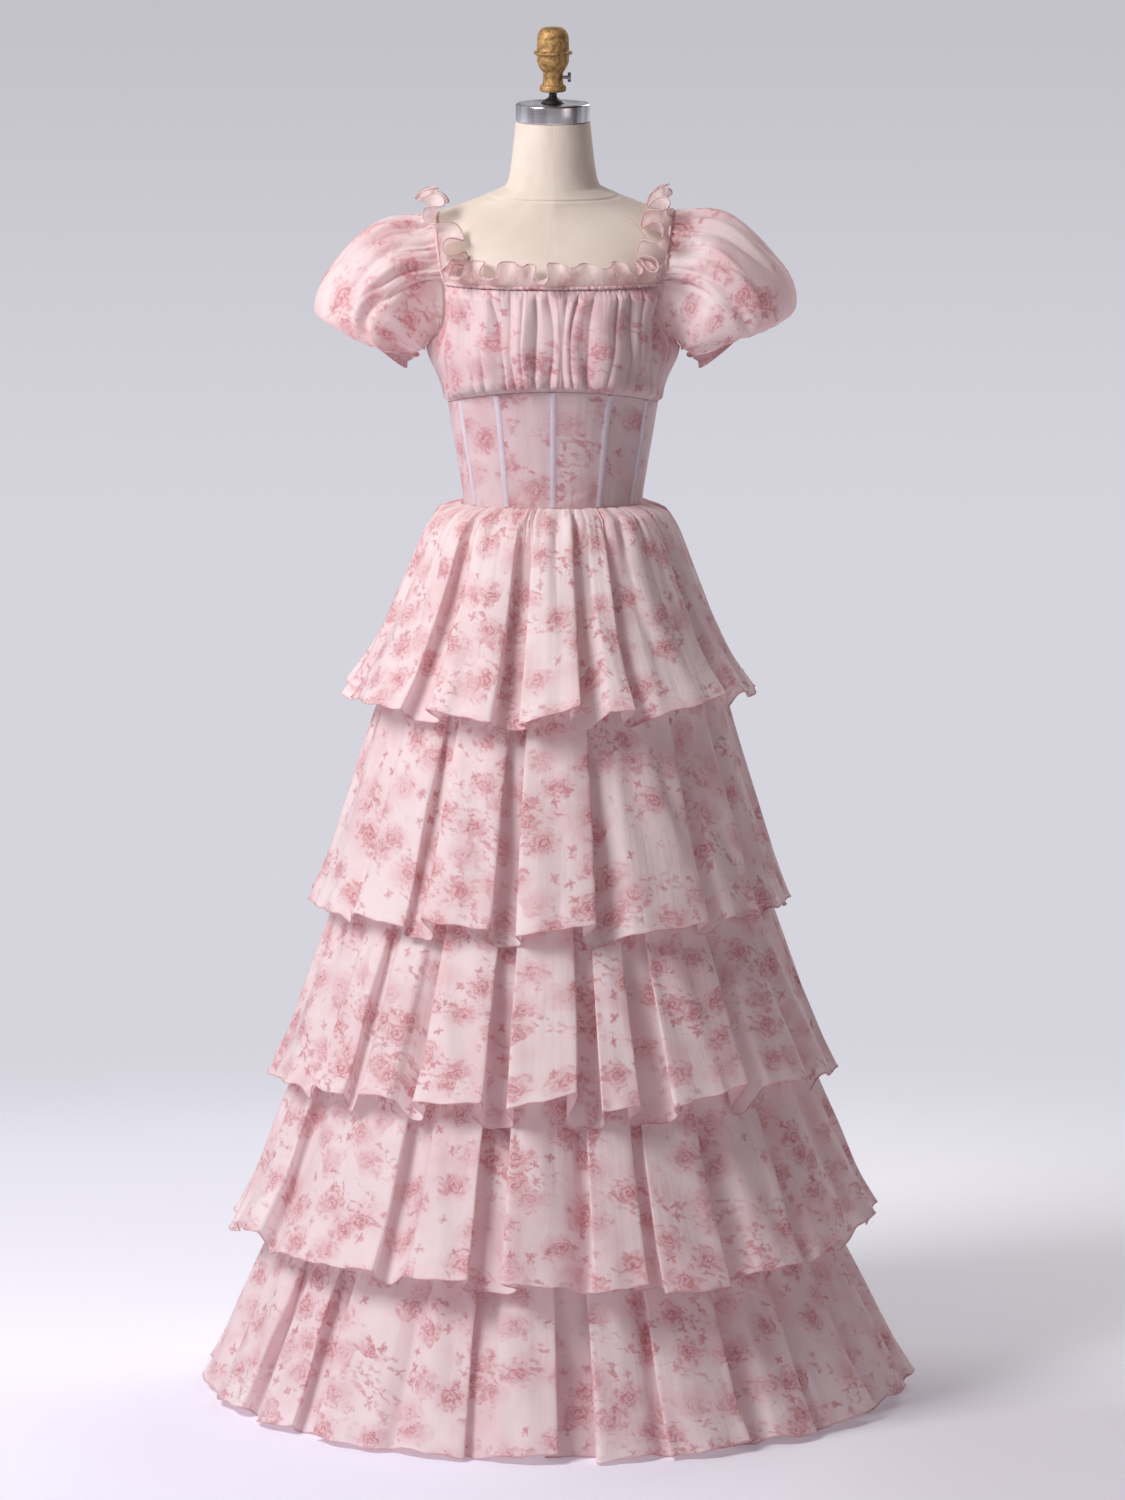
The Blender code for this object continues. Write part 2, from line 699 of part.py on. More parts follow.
def back_edge(angle, z):
    """The angle of a column, which stops beside the zip instead of at the centre back."""
    beside = 180.0 - angle_of(ZIP_WIDTH / 2 + SEAM_GAP / 2, z)
    return min(max(angle, -beside), beside)


def make_corset_panel(name, start, end, columns):
    """A corset panel between two seams, from the waist seam to the seam under the bust."""
    outer, inner = [], []
    for row in range(CORSET_ROWS + 1):
        angles = spread(start, end, columns)
        zs = [mix(underbust_z(angle) - 2 * SEAM_GAP, waist_z(angle), row / CORSET_ROWS) for angle in angles]
        for grid, thick in ((outer, CLOTH), (inner, 0.0)):
            grid.append(
                seamed([figure_point(back_edge(a, z), z, corset_out(z) + thick) for a, z in zip(angles, zs)])
            )
    cloth_wall(name, outer, inner)


def make_corset():
    """The eight panels of the corset."""
    names = ("corset_centre", "corset_side_front", "corset_side")
    for name, start, end in zip(names, SEAM_ANGLES, SEAM_ANGLES[1:]):
        make_corset_panel(f"{name}_left", start, end, 3)
        make_corset_panel(f"{name}_right", -end, -start, 3)
    make_corset_panel("corset_back_left", SEAM_ANGLES[-1], 180.0, 6)
    make_corset_panel("corset_back_right", -180.0, -SEAM_ANGLES[-1], 6)


def make_bones():
    """The ribbon casings of the five front bones, each laid along a seam of the corset."""
    for name, angle in BONES:
        outer, inner = [], []
        for row in range(CORSET_ROWS + 1):
            z = mix(underbust_z(angle) - 0.0015, waist_z(angle) + 0.0015, row / CORSET_ROWS)
            wide = angle_of(BONE_WIDTH / 2, z)
            under = corset_out(z) + CLOTH + SEAM_GAP
            for grid, thick in ((outer, BONE_THICK), (inner, 0.0)):
                grid.append([figure_point(angle + side * wide, z, under + thick) for side in (-1, 0, 1)])
        cloth_wall(name, outer, inner, finish=BONING)


def gather(column, angle, share):
    """The puff of the gathered bust, a crest and a trough by turns, and nothing at either seam."""
    swell = math.sin(math.pi * share) ** 0.7 if 0 < share < 1 else 0.0
    wave = (1 if column % 2 else -1) * (0.8 + 0.4 * math.sin(2.3 * column))
    fade = min(max((CORNER_ANGLE + 18 - abs(angle)) / 20.0, 0.0), 1.0)
    if abs(angle) > 90:
        return swell * max(1 - (abs(angle) - 90) / 40, 0.0)
    return swell * (1.0 + 0.5 * wave * fade)


def make_bust_panel(name, start, end, columns):
    """A gathered panel from the seam under the bust to the neckline and the armholes."""
    outer, inner = [], []
    for row in range(BUST_ROWS + 1):
        lines = ([], [])
        for column, angle in enumerate(spread(start, end, columns)):
            z = mix(armhole_z(angle), underbust_z(angle), row / BUST_ROWS)
            puff = BUST_PUFF * gather(column, angle, row / BUST_ROWS)
            for line, thick in zip(lines, (CLOTH, 0.0)):
                line.append(figure_point(back_edge(angle, z), z, WEAR_GAP + puff + thick))
        outer.append(seamed(lines[0]))
        inner.append(seamed(lines[1]))
    cloth_wall(name, outer, inner)


def make_bust():
    """The gathered front and the two plain backs above the corset."""
    make_bust_panel("bust_front", -90.0, 90.0, 36)
    make_bust_panel("bust_back_left", 90.0, 180.0, 6)
    make_bust_panel("bust_back_right", -180.0, -90.0, 6)


# ---------------------------------------------------------------- the neckline
def strap_point(side, turn):
    """A point of the elastic over a shoulder: turn 0 at the front corner, 90 on top and 180 at the back corner."""
    radians = math.radians(turn)
    corner = level_point(CORNER_ANGLE)
    x = corner.x + 0.0140 * math.sin(radians)
    y = corner.y * math.cos(radians)
    z = NECKLINE_Z + (SHOULDER_Z - NECKLINE_Z) * math.sin(radians)
    point = stand_off(Vector((x, y, z)), WEAR_GAP + CASING_RADIUS)
    return Vector((side * point.x, point.y, point.z))


def level_point(angle):
    """A point of the elastic across the chest or the back."""
    return figure_point(angle, NECKLINE_Z, WEAR_GAP + CASING_RADIUS)


Stitch = namedtuple("Stitch", "point height lean corner")


def neckline():
    """The neck elastic from one edge of the zip, over the wearer's right shoulder and round to the other edge."""
    beside = angle_of(ZIP_WIDTH / 2 + SEAM_GAP, NECKLINE_Z)
    back, front = spread(180 - beside, 180 - CORNER_ANGLE, 6)[:-1], spread(-CORNER_ANGLE, CORNER_ANGLE, 18)[1:-1]
    turns = spread(0, 180, 12)
    forward = Vector((0.0, -math.sin(math.radians(LEVEL_LEAN)), math.cos(math.radians(LEVEL_LEAN))))
    rearward = Vector((0.0, -forward.y, forward.z))
    line = [Stitch(level_point(-angle), FRILL_HEIGHT, rearward, False) for angle in back]
    for side in (-1, 1):
        for turn in turns if side > 0 else reversed(turns):
            corner = turn % 180 == 0
            height = (FRILL_HEIGHT + STRAP_FRILL_HEIGHT) / 2 if corner else STRAP_FRILL_HEIGHT
            inward = Vector((-side * 0.53, -0.52 * math.cos(math.radians(turn)), 0.80)).normalized()
            line.append(Stitch(strap_point(side, turn), height, inward, corner))
        if side < 0:
            line += [Stitch(level_point(angle), FRILL_HEIGHT, forward, False) for angle in front]
    line += [Stitch(level_point(angle), FRILL_HEIGHT, rearward, False) for angle in reversed(back)]
    return line


def neck_frames():
    """At each stitch, the line's direction, the way off the figure, and the way up the figure from the line."""
    line = [stitch.point for stitch in neckline()]
    frames = []
    for i, point in enumerate(line):
        along = (line[min(i + 1, len(line) - 1)] - line[max(i - 1, 0)]).normalized()
        away = off_figure(point)[1]
        away = (away - along * away.dot(along)).normalized()
        frames.append((along, away, away.cross(along)))
    return frames


def make_casing():
    """The gathered casing that holds the neck elastic, from one edge of the zip to the other."""
    sides = 4
    points, faces = [], []
    for stitch, (_, away, up) in zip(neckline(), neck_frames()):
        for k in range(sides):
            angle = 2 * math.pi * (k + 0.5) / sides
            spoke = away * math.cos(angle) + up * math.sin(angle)
            points.append(stitch.point + spoke * CASING_RADIUS)
    count = len(points) // sides
    for i in range(count - 1):
        for k in range(sides):
            m = (k + 1) % sides
            n = i + 1
            faces.append((i * sides + k, i * sides + m, n * sides + m, n * sides + k))
    faces.append(tuple(range(sides)))
    faces.append(tuple((count - 1) * sides + k for k in range(sides)))
    add_object("neck_casing", points, faces, ORGANZA)


def make_frills():
    """The five lengths of frill that stand on the casing, cut at its corners and at the zip."""
    line, frames = neckline(), neck_frames()
    corners = [0, *(i for i, stitch in enumerate(line) if stitch.corner), len(line) - 1]
    leans = [stitch.lean for stitch in line]
    for _ in range(2):
        around = [leans[0], *leans, leans[-1]]
        leans = [(a + 2 * b + c).normalized() for a, b, c in zip(around, around[1:], around[2:])]
    lows, mids, highs = [], [], []
    for i, (stitch, lean, (along, away, up)) in enumerate(zip(line, leans, frames)):
        off = along.cross(lean).normalized() * -1
        from_corner = min(abs(i - corner) for corner in corners)
        height = stitch.height * (1 + 0.10 * math.sin(5.0 * i))
        wave = FRILL_WAVE * (1 if i % 2 else -0.5) * (1 + 0.3 * math.sin(3.0 * i)) * min(from_corner / 2, 1.0)
        foot = stitch.point + up * (CASING_RADIUS * 0.71 + SEAM_GAP) + away * FRILL_THICK
        lows.append(foot)
        mids.append(foot + lean * height * 0.5 + off * wave * 0.4)
        highs.append(foot + lean * height + off * wave)
    outer = [highs, mids, lows]
    inner = lined(outer, thick=FRILL_THICK)
    inner[-1] = [point - away * FRILL_THICK for point, (_, away, _) in zip(lows, frames)]
    for name, first, last in zip(FRILLS, corners, corners[1:]):
        cloth_wall(name, *([seamed(row[first : last + 1]) for row in grid] for grid in (outer, inner)))


# ---------------------------------------------------------------- the zip
def back_point(z, out, x=0.0):
    """A point on the centre back, this far out from the figure."""
    point = figure_point(180.0, z, out)
    return Vector((x, point.y, z))


def block(name, low, high, finish):
    """A plain box between two corners."""
    corners = [(x, y, z) for x in (low[0], high[0]) for y in (low[1], high[1]) for z in (low[2], high[2])]
    faces = [(0, 1, 3, 2), (4, 5, 7, 6), (0, 1, 5, 4), (2, 3, 7, 6), (0, 2, 6, 4), (1, 3, 7, 5)]
    return add_object(name, corners, faces, finish)


def make_zip():
    """The zip between the back edges: its chain, its slider at the top, and the pull tab hinged on the slider."""
    top = NECKLINE_Z + CASING_RADIUS
    zs = [*spread(WAIST_Z, UNDERBUST_Z, CORSET_ROWS), *spread(UNDERBUST_Z, armhole_z(180), BUST_ROWS)[1:], top]
    outer, inner = [], []
    for z in reversed(zs):
        gap = corset_out(z)
        for grid, out in ((outer, gap + ZIP_THICK), (inner, gap)):
            grid.append([back_point(z, out, x) for x in (ZIP_WIDTH / 2, 0.0, -ZIP_WIDTH / 2)])
    cloth_wall("zip_chain", outer, inner, finish=ZIP)
    low = top - SLIDER_LENGTH
    face = max(back_point(z, WEAR_GAP + ZIP_THICK).y for z in (low, top)) + SEAM_GAP
    body = block(
        "slider_body", (-SLIDER_WIDTH / 2, face, low), (SLIDER_WIDTH / 2, face + SLIDER_THICK, top), BRASS
    )
    ears = []
    hinge_z, hinge_y = low + 0.6 * SLIDER_LENGTH, face + SLIDER_THICK + 0.0014
    for side in (-1, 1):
        inside, outside = side * 0.0018, side * 0.0028
        ears.append(
            block(
                "ear",
                (min(inside, outside), face + SLIDER_THICK / 2, hinge_z - 0.0012),
                (max(inside, outside), hinge_y + 0.0010, hinge_z + 0.0012),
                BRASS,
            )
        )
    join_solids("zip_slider", [body, *ears], BRASS)
    barrel = add_rod("pull_barrel", hinge_z, -0.0015, 0.0015, 0.0008, BRASS, segments=10)
    barrel.data.transform(Matrix.Translation((0.0, hinge_y, 0.0)))
    tab = block(
        "pull_tab",
        (-0.0014, hinge_y - 0.0004, hinge_z - 0.0035),
        (0.0014, hinge_y + 0.0004, hinge_z),
        BRASS,
    )
    paddle = block(
        "pull_paddle",
        (-0.0030, hinge_y - 0.00041, hinge_z - PULL_LENGTH),
        (0.0030, hinge_y + 0.00041, hinge_z - 0.0032),
        BRASS,
    )
    join_solids("zip_pull", [barrel, tab, paddle], BRASS, origin=(0.0, hinge_y, hinge_z))


# ---------------------------------------------------------------- the sleeves
def sleeve_base(turn):
    """A point of the left sleeve's own edge: beside the strap above, and over the bodice's armhole below."""
    radians = math.radians(turn)
    beside = CASING_RADIUS * 0.71 + 2 * SEAM_GAP
    if 0 < turn < 180:
        edge = strap_point(1, turn)
        away = off_figure(edge)[1]
        outward = Vector((1, 0, 0)) - away * away.x
        return edge + outward.normalized() * beside
    corner = level_point(CORNER_ANGLE)
    z = NECKLINE_Z + (NECKLINE_Z - UNDERARM_Z + 0.004) * math.sin(radians)
    y = ARMHOLE_COVER * corner.y * math.cos(radians)
    point = stand_off(Vector((0.150, y, z)), WEAR_GAP + 2 * CLOTH + 0.0008)
    past_corner = 0.004 if turn % 180 == 0 else 0.0
    return point + Vector((past_corner, 0.0, 0.0))


def sleeve_point(ring, turn):
    """A point of one ring of the left sleeve; turn 90 is its outer point and 270 its inner one."""
    radians = math.radians(turn)
    outer = Vector((ring.outer_x, 0, ring.outer_z))
    inner = Vector((ring.inner_x, 0, ring.inner_z))
    spoke = (outer - inner) / 2 * math.sin(radians) + Vector((0, -ring.half_depth * math.cos(radians), 0))
    return (outer + inner) / 2 + spoke


def sleeve_ripple(turn, level):
    """How far the folds that fall from the gathers stand in or out, none at either edge."""
    outside = max(math.sin(math.radians(turn)) + 0.6, 0.0) ** 0.5
    swell = math.sin(math.pi * level / len(SLEEVE))
    wave = math.sin(math.radians(turn * 9)) + 0.5 * math.sin(math.radians(turn * 5 + 40))
    return SLEEVE_RIPPLE * outside * swell * wave


def mirrored(grid, side):
    """The grid on the wearer's left, or its mirror image on the right with its columns in the outward order."""
    if side > 0:
        return grid
    return [[Vector((-p.x, p.y, p.z)) for p in reversed(row)] for row in grid]


def make_sleeve(name, side):
    """A puff sleeve: an open shell from the armhole to the cuff."""
    turns = [360.0 * i / SLEEVE_COLUMNS for i in range(SLEEVE_COLUMNS)]
    outer = [[sleeve_base(turn) for turn in turns]]
    for level, ring in enumerate(SLEEVE, start=1):
        plain = [sleeve_point(ring, turn) for turn in turns]
        centre = sum(plain, Vector()) / len(plain)
        outer.append(
            [p + (p - centre).normalized() * sleeve_ripple(turn, level) for p, turn in zip(plain, turns)]
        )
    inner = lined(outer, closed=True)
    cloth_wall(name, mirrored(outer, side), mirrored(inner, side), closed=True)


def make_cuff(name, side):
    """The elastic cuff, ribbed by its gathers, below the sleeve's last ring."""
    ring = SLEEVE[-1]
    across = Vector((ring.outer_x - ring.inner_x, 0, ring.outer_z - ring.inner_z)).normalized()
    away = Vector((across.z, 0, -across.x))
    turns = [360.0 * i / CUFF_COLUMNS for i in range(CUFF_COLUMNS)]
    plain = [sleeve_point(ring, turn) for turn in turns]
    centre = sum(plain, Vector()) / len(plain)
    outer, inner = [], []
    for step, grow in ((2 * SEAM_GAP, 0.0), (CUFF_LENGTH * 0.5, -0.0015), (CUFF_LENGTH, 0.0015)):
        rows = ([], [])
        for i, point in enumerate(plain):
            spoke = (point - centre).normalized()
            rib = (0.0008 if i % 2 else -0.0008) if step > 2 * SEAM_GAP else 0.0
            for row, thick in zip(rows, (0.0, CLOTH)):
                row.append(point + away * step + spoke * (grow + rib - thick))
        outer.append(rows[0])
        inner.append(rows[1])
    cloth_wall(name, mirrored(outer, side), mirrored(inner, side), closed=True)


# ---------------------------------------------------------------- the skirt
def skirt_point(angle, z, radius, depth_share):
    """A point of a round skirt at this angle and height."""
    radians = math.radians(angle)
    return Vector((radius * math.sin(radians), -radius * depth_share * math.cos(radians), z))


def foundation_point(angle, z, out=0.0):
    """A point on the outside of the foundation skirt, moved out by a clearance."""
    radius = between(FOUNDATION, "radius", z) + out
    plain = skirt_point(angle, z, radius, between(FOUNDATION, "depth_share", z))
    worn = min(max((z - FOUNDATION_FREE_Z) / (WAIST_Z - FOUNDATION_FREE_Z), 0.0), 1.0)
    if worn == 0.0:
        return plain
    return plain.lerp(figure_point(angle, z, WAIST_GAP + CLOTH + out), worn**2)


def ring_angles():
    """The angles of the foundation's columns, from one side seam round to it again."""
    return [*spread(-90, 90, 18), *spread(90, 270, 12)[1:]]


def halves(name, outer, inner, side_seam):
    """A ring of cloth cut at the side seams into its front and its back."""
    for half, first, last in (("front", 0, side_seam), ("back", side_seam, len(outer[0]) - 1)):
        grids = [[seamed(row[first : last + 1]) for row in grid] for grid in (outer, inner)]
        cloth_wall(f"{name}_{half}", *grids)


def ring_lined(grid):
    """The inner points of a ring whose last column is its first one again."""
    open_ring = [row[:-1] for row in grid]
    return [[*row, row[0]] for row in lined(open_ring, closed=True)]


def make_foundation():
    """The plain skirt that carries the tiers."""
    outer = []
    carried = [tier.top for tier in TIERS[1:]]
    for level, z in enumerate((WAIST_Z, 1.100, 1.050, *carried, FOUNDATION[-1].z)):
        row = []
        for angle in ring_angles():
            height = waist_z(angle) - 2 * SEAM_GAP if level == 0 else z
            row.append(foundation_point(angle, height))
        outer.append(row)
    halves("foundation", outer, ring_lined(outer), 18)


def fold_corners(folds):
    """The corners of a tier's folds, in order: (angle, inset share, drop in metres), from one side seam round."""
    corners = []
    for fold, after in zip(folds, [*folds[1:], folds[0]._replace(start=folds[0].start + 360)]):
        drop = fold.drop * 0.001
        steps = max(round((fold.end - fold.start) / MAX_STEP + 0.3), 2)
        for step, angle in enumerate(spread(fold.start, fold.end, steps)):
            corners.append((angle, 0.12 if step == 0 else 0.04 if step == steps else 0.0, drop))
        valley = (fold.end + after.start) / 2
        corners.append((valley, fold.trough, (drop + after.drop * 0.001) / 2 - 0.003))
    around = [(corner[0] + turn, *corner[1:]) for turn in (-360, 0, 360) for corner in corners]
    ring = []
    for start, end in ((-90.0, 90.0), (90.0, 270.0)):
        ring.append(seam_corner(around, start))
        ring += [corner for corner in around if start + 2.0 < corner[0] < end - 2.0]
    ring.append((270.0, *ring[0][1:]))
    return ring


def seam_corner(corners, angle):
    """The corner that a side seam at this angle would have, between its two neighbours."""
    low = [corner for corner in corners if corner[0] < angle - 2.0][-1]
    high = [corner for corner in corners if corner[0] > angle + 2.0][0]
    share = (angle - low[0]) / (high[0] - low[0])
    return (angle, *(mix(a, b, share) for a, b in zip(low[1:], high[1:])))


def make_tier(number, tier, folds):
    """One gathered tier, a front and a back that meet at the side seams."""
    corners = fold_corners(folds)
    widest = max(b[0] - a[0] for a, b in zip(corners, corners[1:]))
    sag = between(FOUNDATION, "radius", tier.top) * (1 - math.cos(math.radians(widest / 2)))
    outer = []
    for row in range(tier.rows + 1):
        t = row / tier.rows
        line = []
        for angle, inset, drop in corners:
            top = tier.top + (waist_z(angle) - WAIST_Z if number == 1 else 0.0)
            z = mix(top, tier.hem - drop, t)
            start = foundation_point(angle, top, sag + SEAM_GAP + CLOTH)
            radius = tier.radius - tier.depth * inset * t**0.8
            ending = skirt_point(angle, z, radius, 1.0)
            reach = t**tier.bell
            ending.x += tier.swing
            line.append(Vector((mix(start.x, ending.x, reach), mix(start.y, ending.y, reach), z)))
        outer.append(line)
    side_seam = [corner[0] for corner in corners].index(90.0)
    halves(f"tier_{number}", outer, ring_lined(outer), side_seam)


def make_tiers():
    """The five gathered tiers."""
    for number, (tier, folds) in enumerate(zip(TIERS, FOLDS), start=1):
        make_tier(number, tier, folds)


def main():
    """Builds every piece."""
    clear_scene()
    make_torso()
    make_neck_fittings()
    make_stand()
    make_corset()
    make_bones()
    make_bust()
    make_casing()
    make_frills()
    make_zip()
    make_sleeve("sleeve_left", 1)
    make_sleeve("sleeve_right", -1)
    make_cuff("cuff_left", 1)
    make_cuff("cuff_right", -1)
    make_foundation()
    make_tiers()


main()
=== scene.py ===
"""A floor-length prom dress of printed organza, worn by a limbless dress form on its stand.

Metres, +Z up, the front facing -Y and the wearer's left at +X. Angles run round the vertical axis: 0 at the centre
front, 90 at +X, 180 at the centre back. Every cloth piece is a thin sheet on the form of its solid: its main folds
are listed in short tables, and its fine gathers are seeded noise.
"""

from __future__ import annotations

import logging
import math
from collections.abc import Sequence
from dataclasses import dataclass
from enum import Enum

import bpy
import numpy as np
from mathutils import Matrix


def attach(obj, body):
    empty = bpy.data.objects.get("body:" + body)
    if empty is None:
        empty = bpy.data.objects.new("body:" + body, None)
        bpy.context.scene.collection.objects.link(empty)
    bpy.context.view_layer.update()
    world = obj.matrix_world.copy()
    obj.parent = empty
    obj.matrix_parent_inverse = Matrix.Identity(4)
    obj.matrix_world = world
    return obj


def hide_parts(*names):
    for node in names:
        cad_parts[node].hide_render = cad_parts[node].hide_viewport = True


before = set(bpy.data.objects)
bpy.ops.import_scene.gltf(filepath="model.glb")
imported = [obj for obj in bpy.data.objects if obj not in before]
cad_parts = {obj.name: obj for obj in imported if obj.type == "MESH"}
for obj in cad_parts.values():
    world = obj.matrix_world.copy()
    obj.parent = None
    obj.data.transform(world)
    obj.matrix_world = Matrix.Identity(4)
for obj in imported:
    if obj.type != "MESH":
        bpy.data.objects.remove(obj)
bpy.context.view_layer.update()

log = logging.getLogger("prom_dress")
Array = np.ndarray
UP = np.array((0.0, 0.0, 1.0))
CLOTH_MAP = "cloth"  # the UV map of every cloth piece: its place on the flat cloth, in metres

SEAM_GAP = 0.0003  # between pieces that are sewn together
CLOTH = 0.0013  # the organza with its lining
WEAR_GAP = 0.0012  # between the form and the dress
WAIST_GAP = 0.0005  # the same, where the waist pulls it in
LYING_GAP = 0.0006  # between layers that lie on each other
HIP_Z = 1.060  # from here down the underskirt hangs clear of the form
WAIST_Z = 1.138
WAIST_RISE = 0.006  # of the waist seam, to the centre front
UNDERBUST_Z = 1.268
UNDERBUST_RISE = 0.028
NECKLINE_Z = 1.424
SHOULDER_Z = 1.508
UNDERARM_Z = 1.345
CORNER_ANGLE = 60.0  # of the neckline's corners, in degrees from the centre front
CASING_RADIUS = 0.0030  # of the neck elastic in its casing
ZIP_HALF = 0.0035
HEM_ROLL = 0.0008  # half the thickness of a rolled hem


# ---------------------------------------------------------------- numbers
def linear(code: str) -> tuple[float, float, float, float]:
    """Turns an sRGB hex colour into linear light.

    Args:
        code: such as "#E0A0AA".

    Returns:
        Red, green, blue and an alpha of one.
    """
    parts = [int(code[i : i + 2], 16) / 255 for i in (1, 3, 5)]
    red, green, blue = (c / 12.92 if c <= 0.04045 else ((c + 0.055) / 1.055) ** 2.4 for c in parts)
    return red, green, blue, 1.0


def eased(value: Array | float, low: float, high: float) -> Array:
    """A soft step.

    Args:
        value: where to read it.
        low: where it leaves nought.
        high: where it reaches one; below low for a falling step.

    Returns:
        The step, from 0 to 1.
    """
    share = np.clip((value - low) / (high - low), 0.0, 1.0)
    return share * share * (3 - 2 * share)


def curve(knots: Sequence[float], values: Sequence, at: Array, period: float = 0.0) -> Array:
    """A smooth curve through rows of values.

    Args:
        knots: where the rows are, rising.
        values: a number or a point for each knot.
        at: where to read the curve.
        period: the length after which a closed curve starts again, or nought for an open one.

    Returns:
        The curve's values, shaped as at, with a last axis for points.
    """
    x, y = np.asarray(knots, float), np.asarray(values, float)
    if period:
        x = np.concatenate((x[-2:] - period, x, x[:2] + period))
        y = np.concatenate((y[-2:], y, y[:2]))
    last = len(x) - 1
    index = np.arange(len(x))
    low, high = np.maximum(index - 1, 0), np.minimum(index + 1, last)
    tail = (1,) * (y.ndim - 1)
    slope = (y[high] - y[low]) / (x[high] - x[low]).reshape(-1, *tail)
    at = np.asarray(at, float)
    i = np.clip(np.searchsorted(x, at, side="right") - 1, 0, last - 1)
    span = (x[i + 1] - x[i]).reshape(*at.shape, *tail)
    t = np.clip((at - x[i]) / (x[i + 1] - x[i]), 0.0, 1.0).reshape(*at.shape, *tail)
    t2, t3 = t * t, t * t * t
    return (
        (2 * t3 - 3 * t2 + 1) * y[i]
        + (t3 - 2 * t2 + t) * slope[i] * span
        + (3 * t2 - 2 * t3) * y[i + 1]
        + (t3 - t2) * slope[i + 1] * span
    )


def ripple(at: Array, wave: float, period: float, seed: int) -> Array:
    """Uneven smooth waves along a line.

    Args:
        at: where to read them.
        wave: about how far apart the crests are.
        period: the length after which they repeat.
        seed: which waves these are.

    Returns:
        Heights from about -1 to 1.
    """
    count = max(int(round(2 * period / wave)), 4)
    rng = np.random.default_rng(seed)
    knots = (np.arange(count) + rng.uniform(-0.3, 0.3, count)) * period / count
    heights = rng.uniform(0.45, 1.0, count) * np.where(np.arange(count) % 2, 1.0, -1.0)
    return curve(knots, heights, np.mod(at, period), period)


def gathers(at: Array, wave: float, period: float, seed: int) -> Array:
    """Uneven gathers: rounded crests with sharp notches between them.

    Args:
        at: where to read them, along the seam.
        wave: about how wide a crest is.
        period: the length after which they repeat.
        seed: which gathers these are.

    Returns:
        Heights from 0 in a notch to about 1 on a crest.
    """
    drift = 0.35 * ripple(at, 3.3 * wave, period, seed) + 0.2 * ripple(at, 7.1 * wave, period, seed + 1)
    turns = at * round(period / wave) / period + drift
    size = 0.72 + 0.28 * ripple(at, 2.3 * wave, period, seed + 2)
    return np.abs(np.sin(np.pi * turns)) ** 0.8 * size


def hump(value: Array, middle: Array | float, width: float) -> Array:
    """A soft hump: one at its middle, and a little over a third of that a width away."""
    return np.exp(-(((value - middle) / width) ** 2))


def rows_down(count: int) -> Array:
    """Even shares from 0 to 1, one for each row of a sheet from its top to its foot."""
    return np.linspace(0, 1, count)[:, None]


def on_cloth(across: Array, down: Array) -> Array:
    """Places on the flat cloth."""
    return np.stack(np.broadcast_arrays(across, down), -1)


def unit(vectors: Array) -> Array:
    """The vectors at length one."""
    return vectors / np.maximum(np.linalg.norm(vectors, axis=-1, keepdims=True), 1e-12)


def length_along(points: Array) -> Array:
    """How far along an open line each of its points is."""
    return np.concatenate(([0.0], np.cumsum(np.linalg.norm(np.diff(points, axis=0), axis=1))))


# ---------------------------------------------------------------- creases
@dataclass(frozen=True)
class Crease:
    """A soft ridge, or a trough when its depth is negative, between two places on a sheet."""

    u0: float
    v0: float
    u1: float
    v1: float
    width: float
    depth: float
    start: float = 0.2

    def press(self, u: Array, v: Array, period: float = 0.0) -> Array:
        """How far the crease moves each place of the sheet.

        Args:
            u: across the sheet.
            v: down the sheet, in the same unit.
            period: the length after which u repeats.

        Returns:
            The distance outwards, in metres.
        """
        du, dv = self.u1 - self.u0, self.v1 - self.v0
        across = u - self.u0
        if period:
            middle = du / 2
            across = np.mod(across - middle + period / 2, period) - period / 2 + middle
        down = v - self.v0
        along = (across * du + down * dv) / (du * du + dv * dv)
        aside = (across * dv - down * du) / math.hypot(du, dv)
        near = np.clip(along, 0.0, 1.0)
        past = (along - near) * math.hypot(du, dv)
        rise = self.start + (1 - self.start) * eased(near, 0.0, 0.35)
        fall = 1.0 - eased(near, 0.55, 1.0)
        return self.depth * rise * fall * np.exp(-(aside**2 + past**2) / self.width**2)


def pressed(creases: Sequence[Crease], u: Array, v: Array, period: float = 0.0) -> Array:
    """The sum of what all the creases do at each place of a sheet."""
    total = np.zeros(np.broadcast(u, v).shape)
    for crease in creases:
        total = total + crease.press(u, v, period)
    return total


# ---------------------------------------------------------------- node graphs
class Graph:
    """A node tree while it is being written."""

    def __init__(self, tree: bpy.types.NodeTree, family: str = "ShaderNode") -> None:
        """Starts on a tree.

        Args:
            tree: the tree to add to.
            family: what its nodes' type names begin with.
        """
        self.tree = tree
        self.family = family

    def add(
        self, kind: str, inputs: dict | None = None, out: int | str = 0, **settings: object
    ) -> bpy.types.NodeSocket | bpy.types.Node:
        """Adds a node with its settings and links.

        Args:
            kind: the node's type name, with or without its family.
            inputs: for a socket's name or number, a value or the socket that feeds it.
            out: the output to return.
            settings: properties of the node.

        Returns:
            The output socket, or the node itself if it has none.
        """
        known = kind.startswith(("ShaderNode", "GeometryNode", "FunctionNode", "NodeGroup"))
        node = self.tree.nodes.new(kind if known else self.family + kind)
        for name, value in settings.items():
            setattr(node, name, value)
        for key, value in (inputs or {}).items():
            if isinstance(value, bpy.types.NodeSocket):
                self.tree.links.new(value, node.inputs[key])
            else:
                node.inputs[key].default_value = value
        return node.outputs[out] if len(node.outputs) else node


def new_material(name: str) -> tuple[bpy.types.Material, Graph]:
    """An empty material and its graph."""
    material = bpy.data.materials.new(name)
    material.use_nodes = True
    material.node_tree.nodes.clear()
    return material, Graph(material.node_tree)


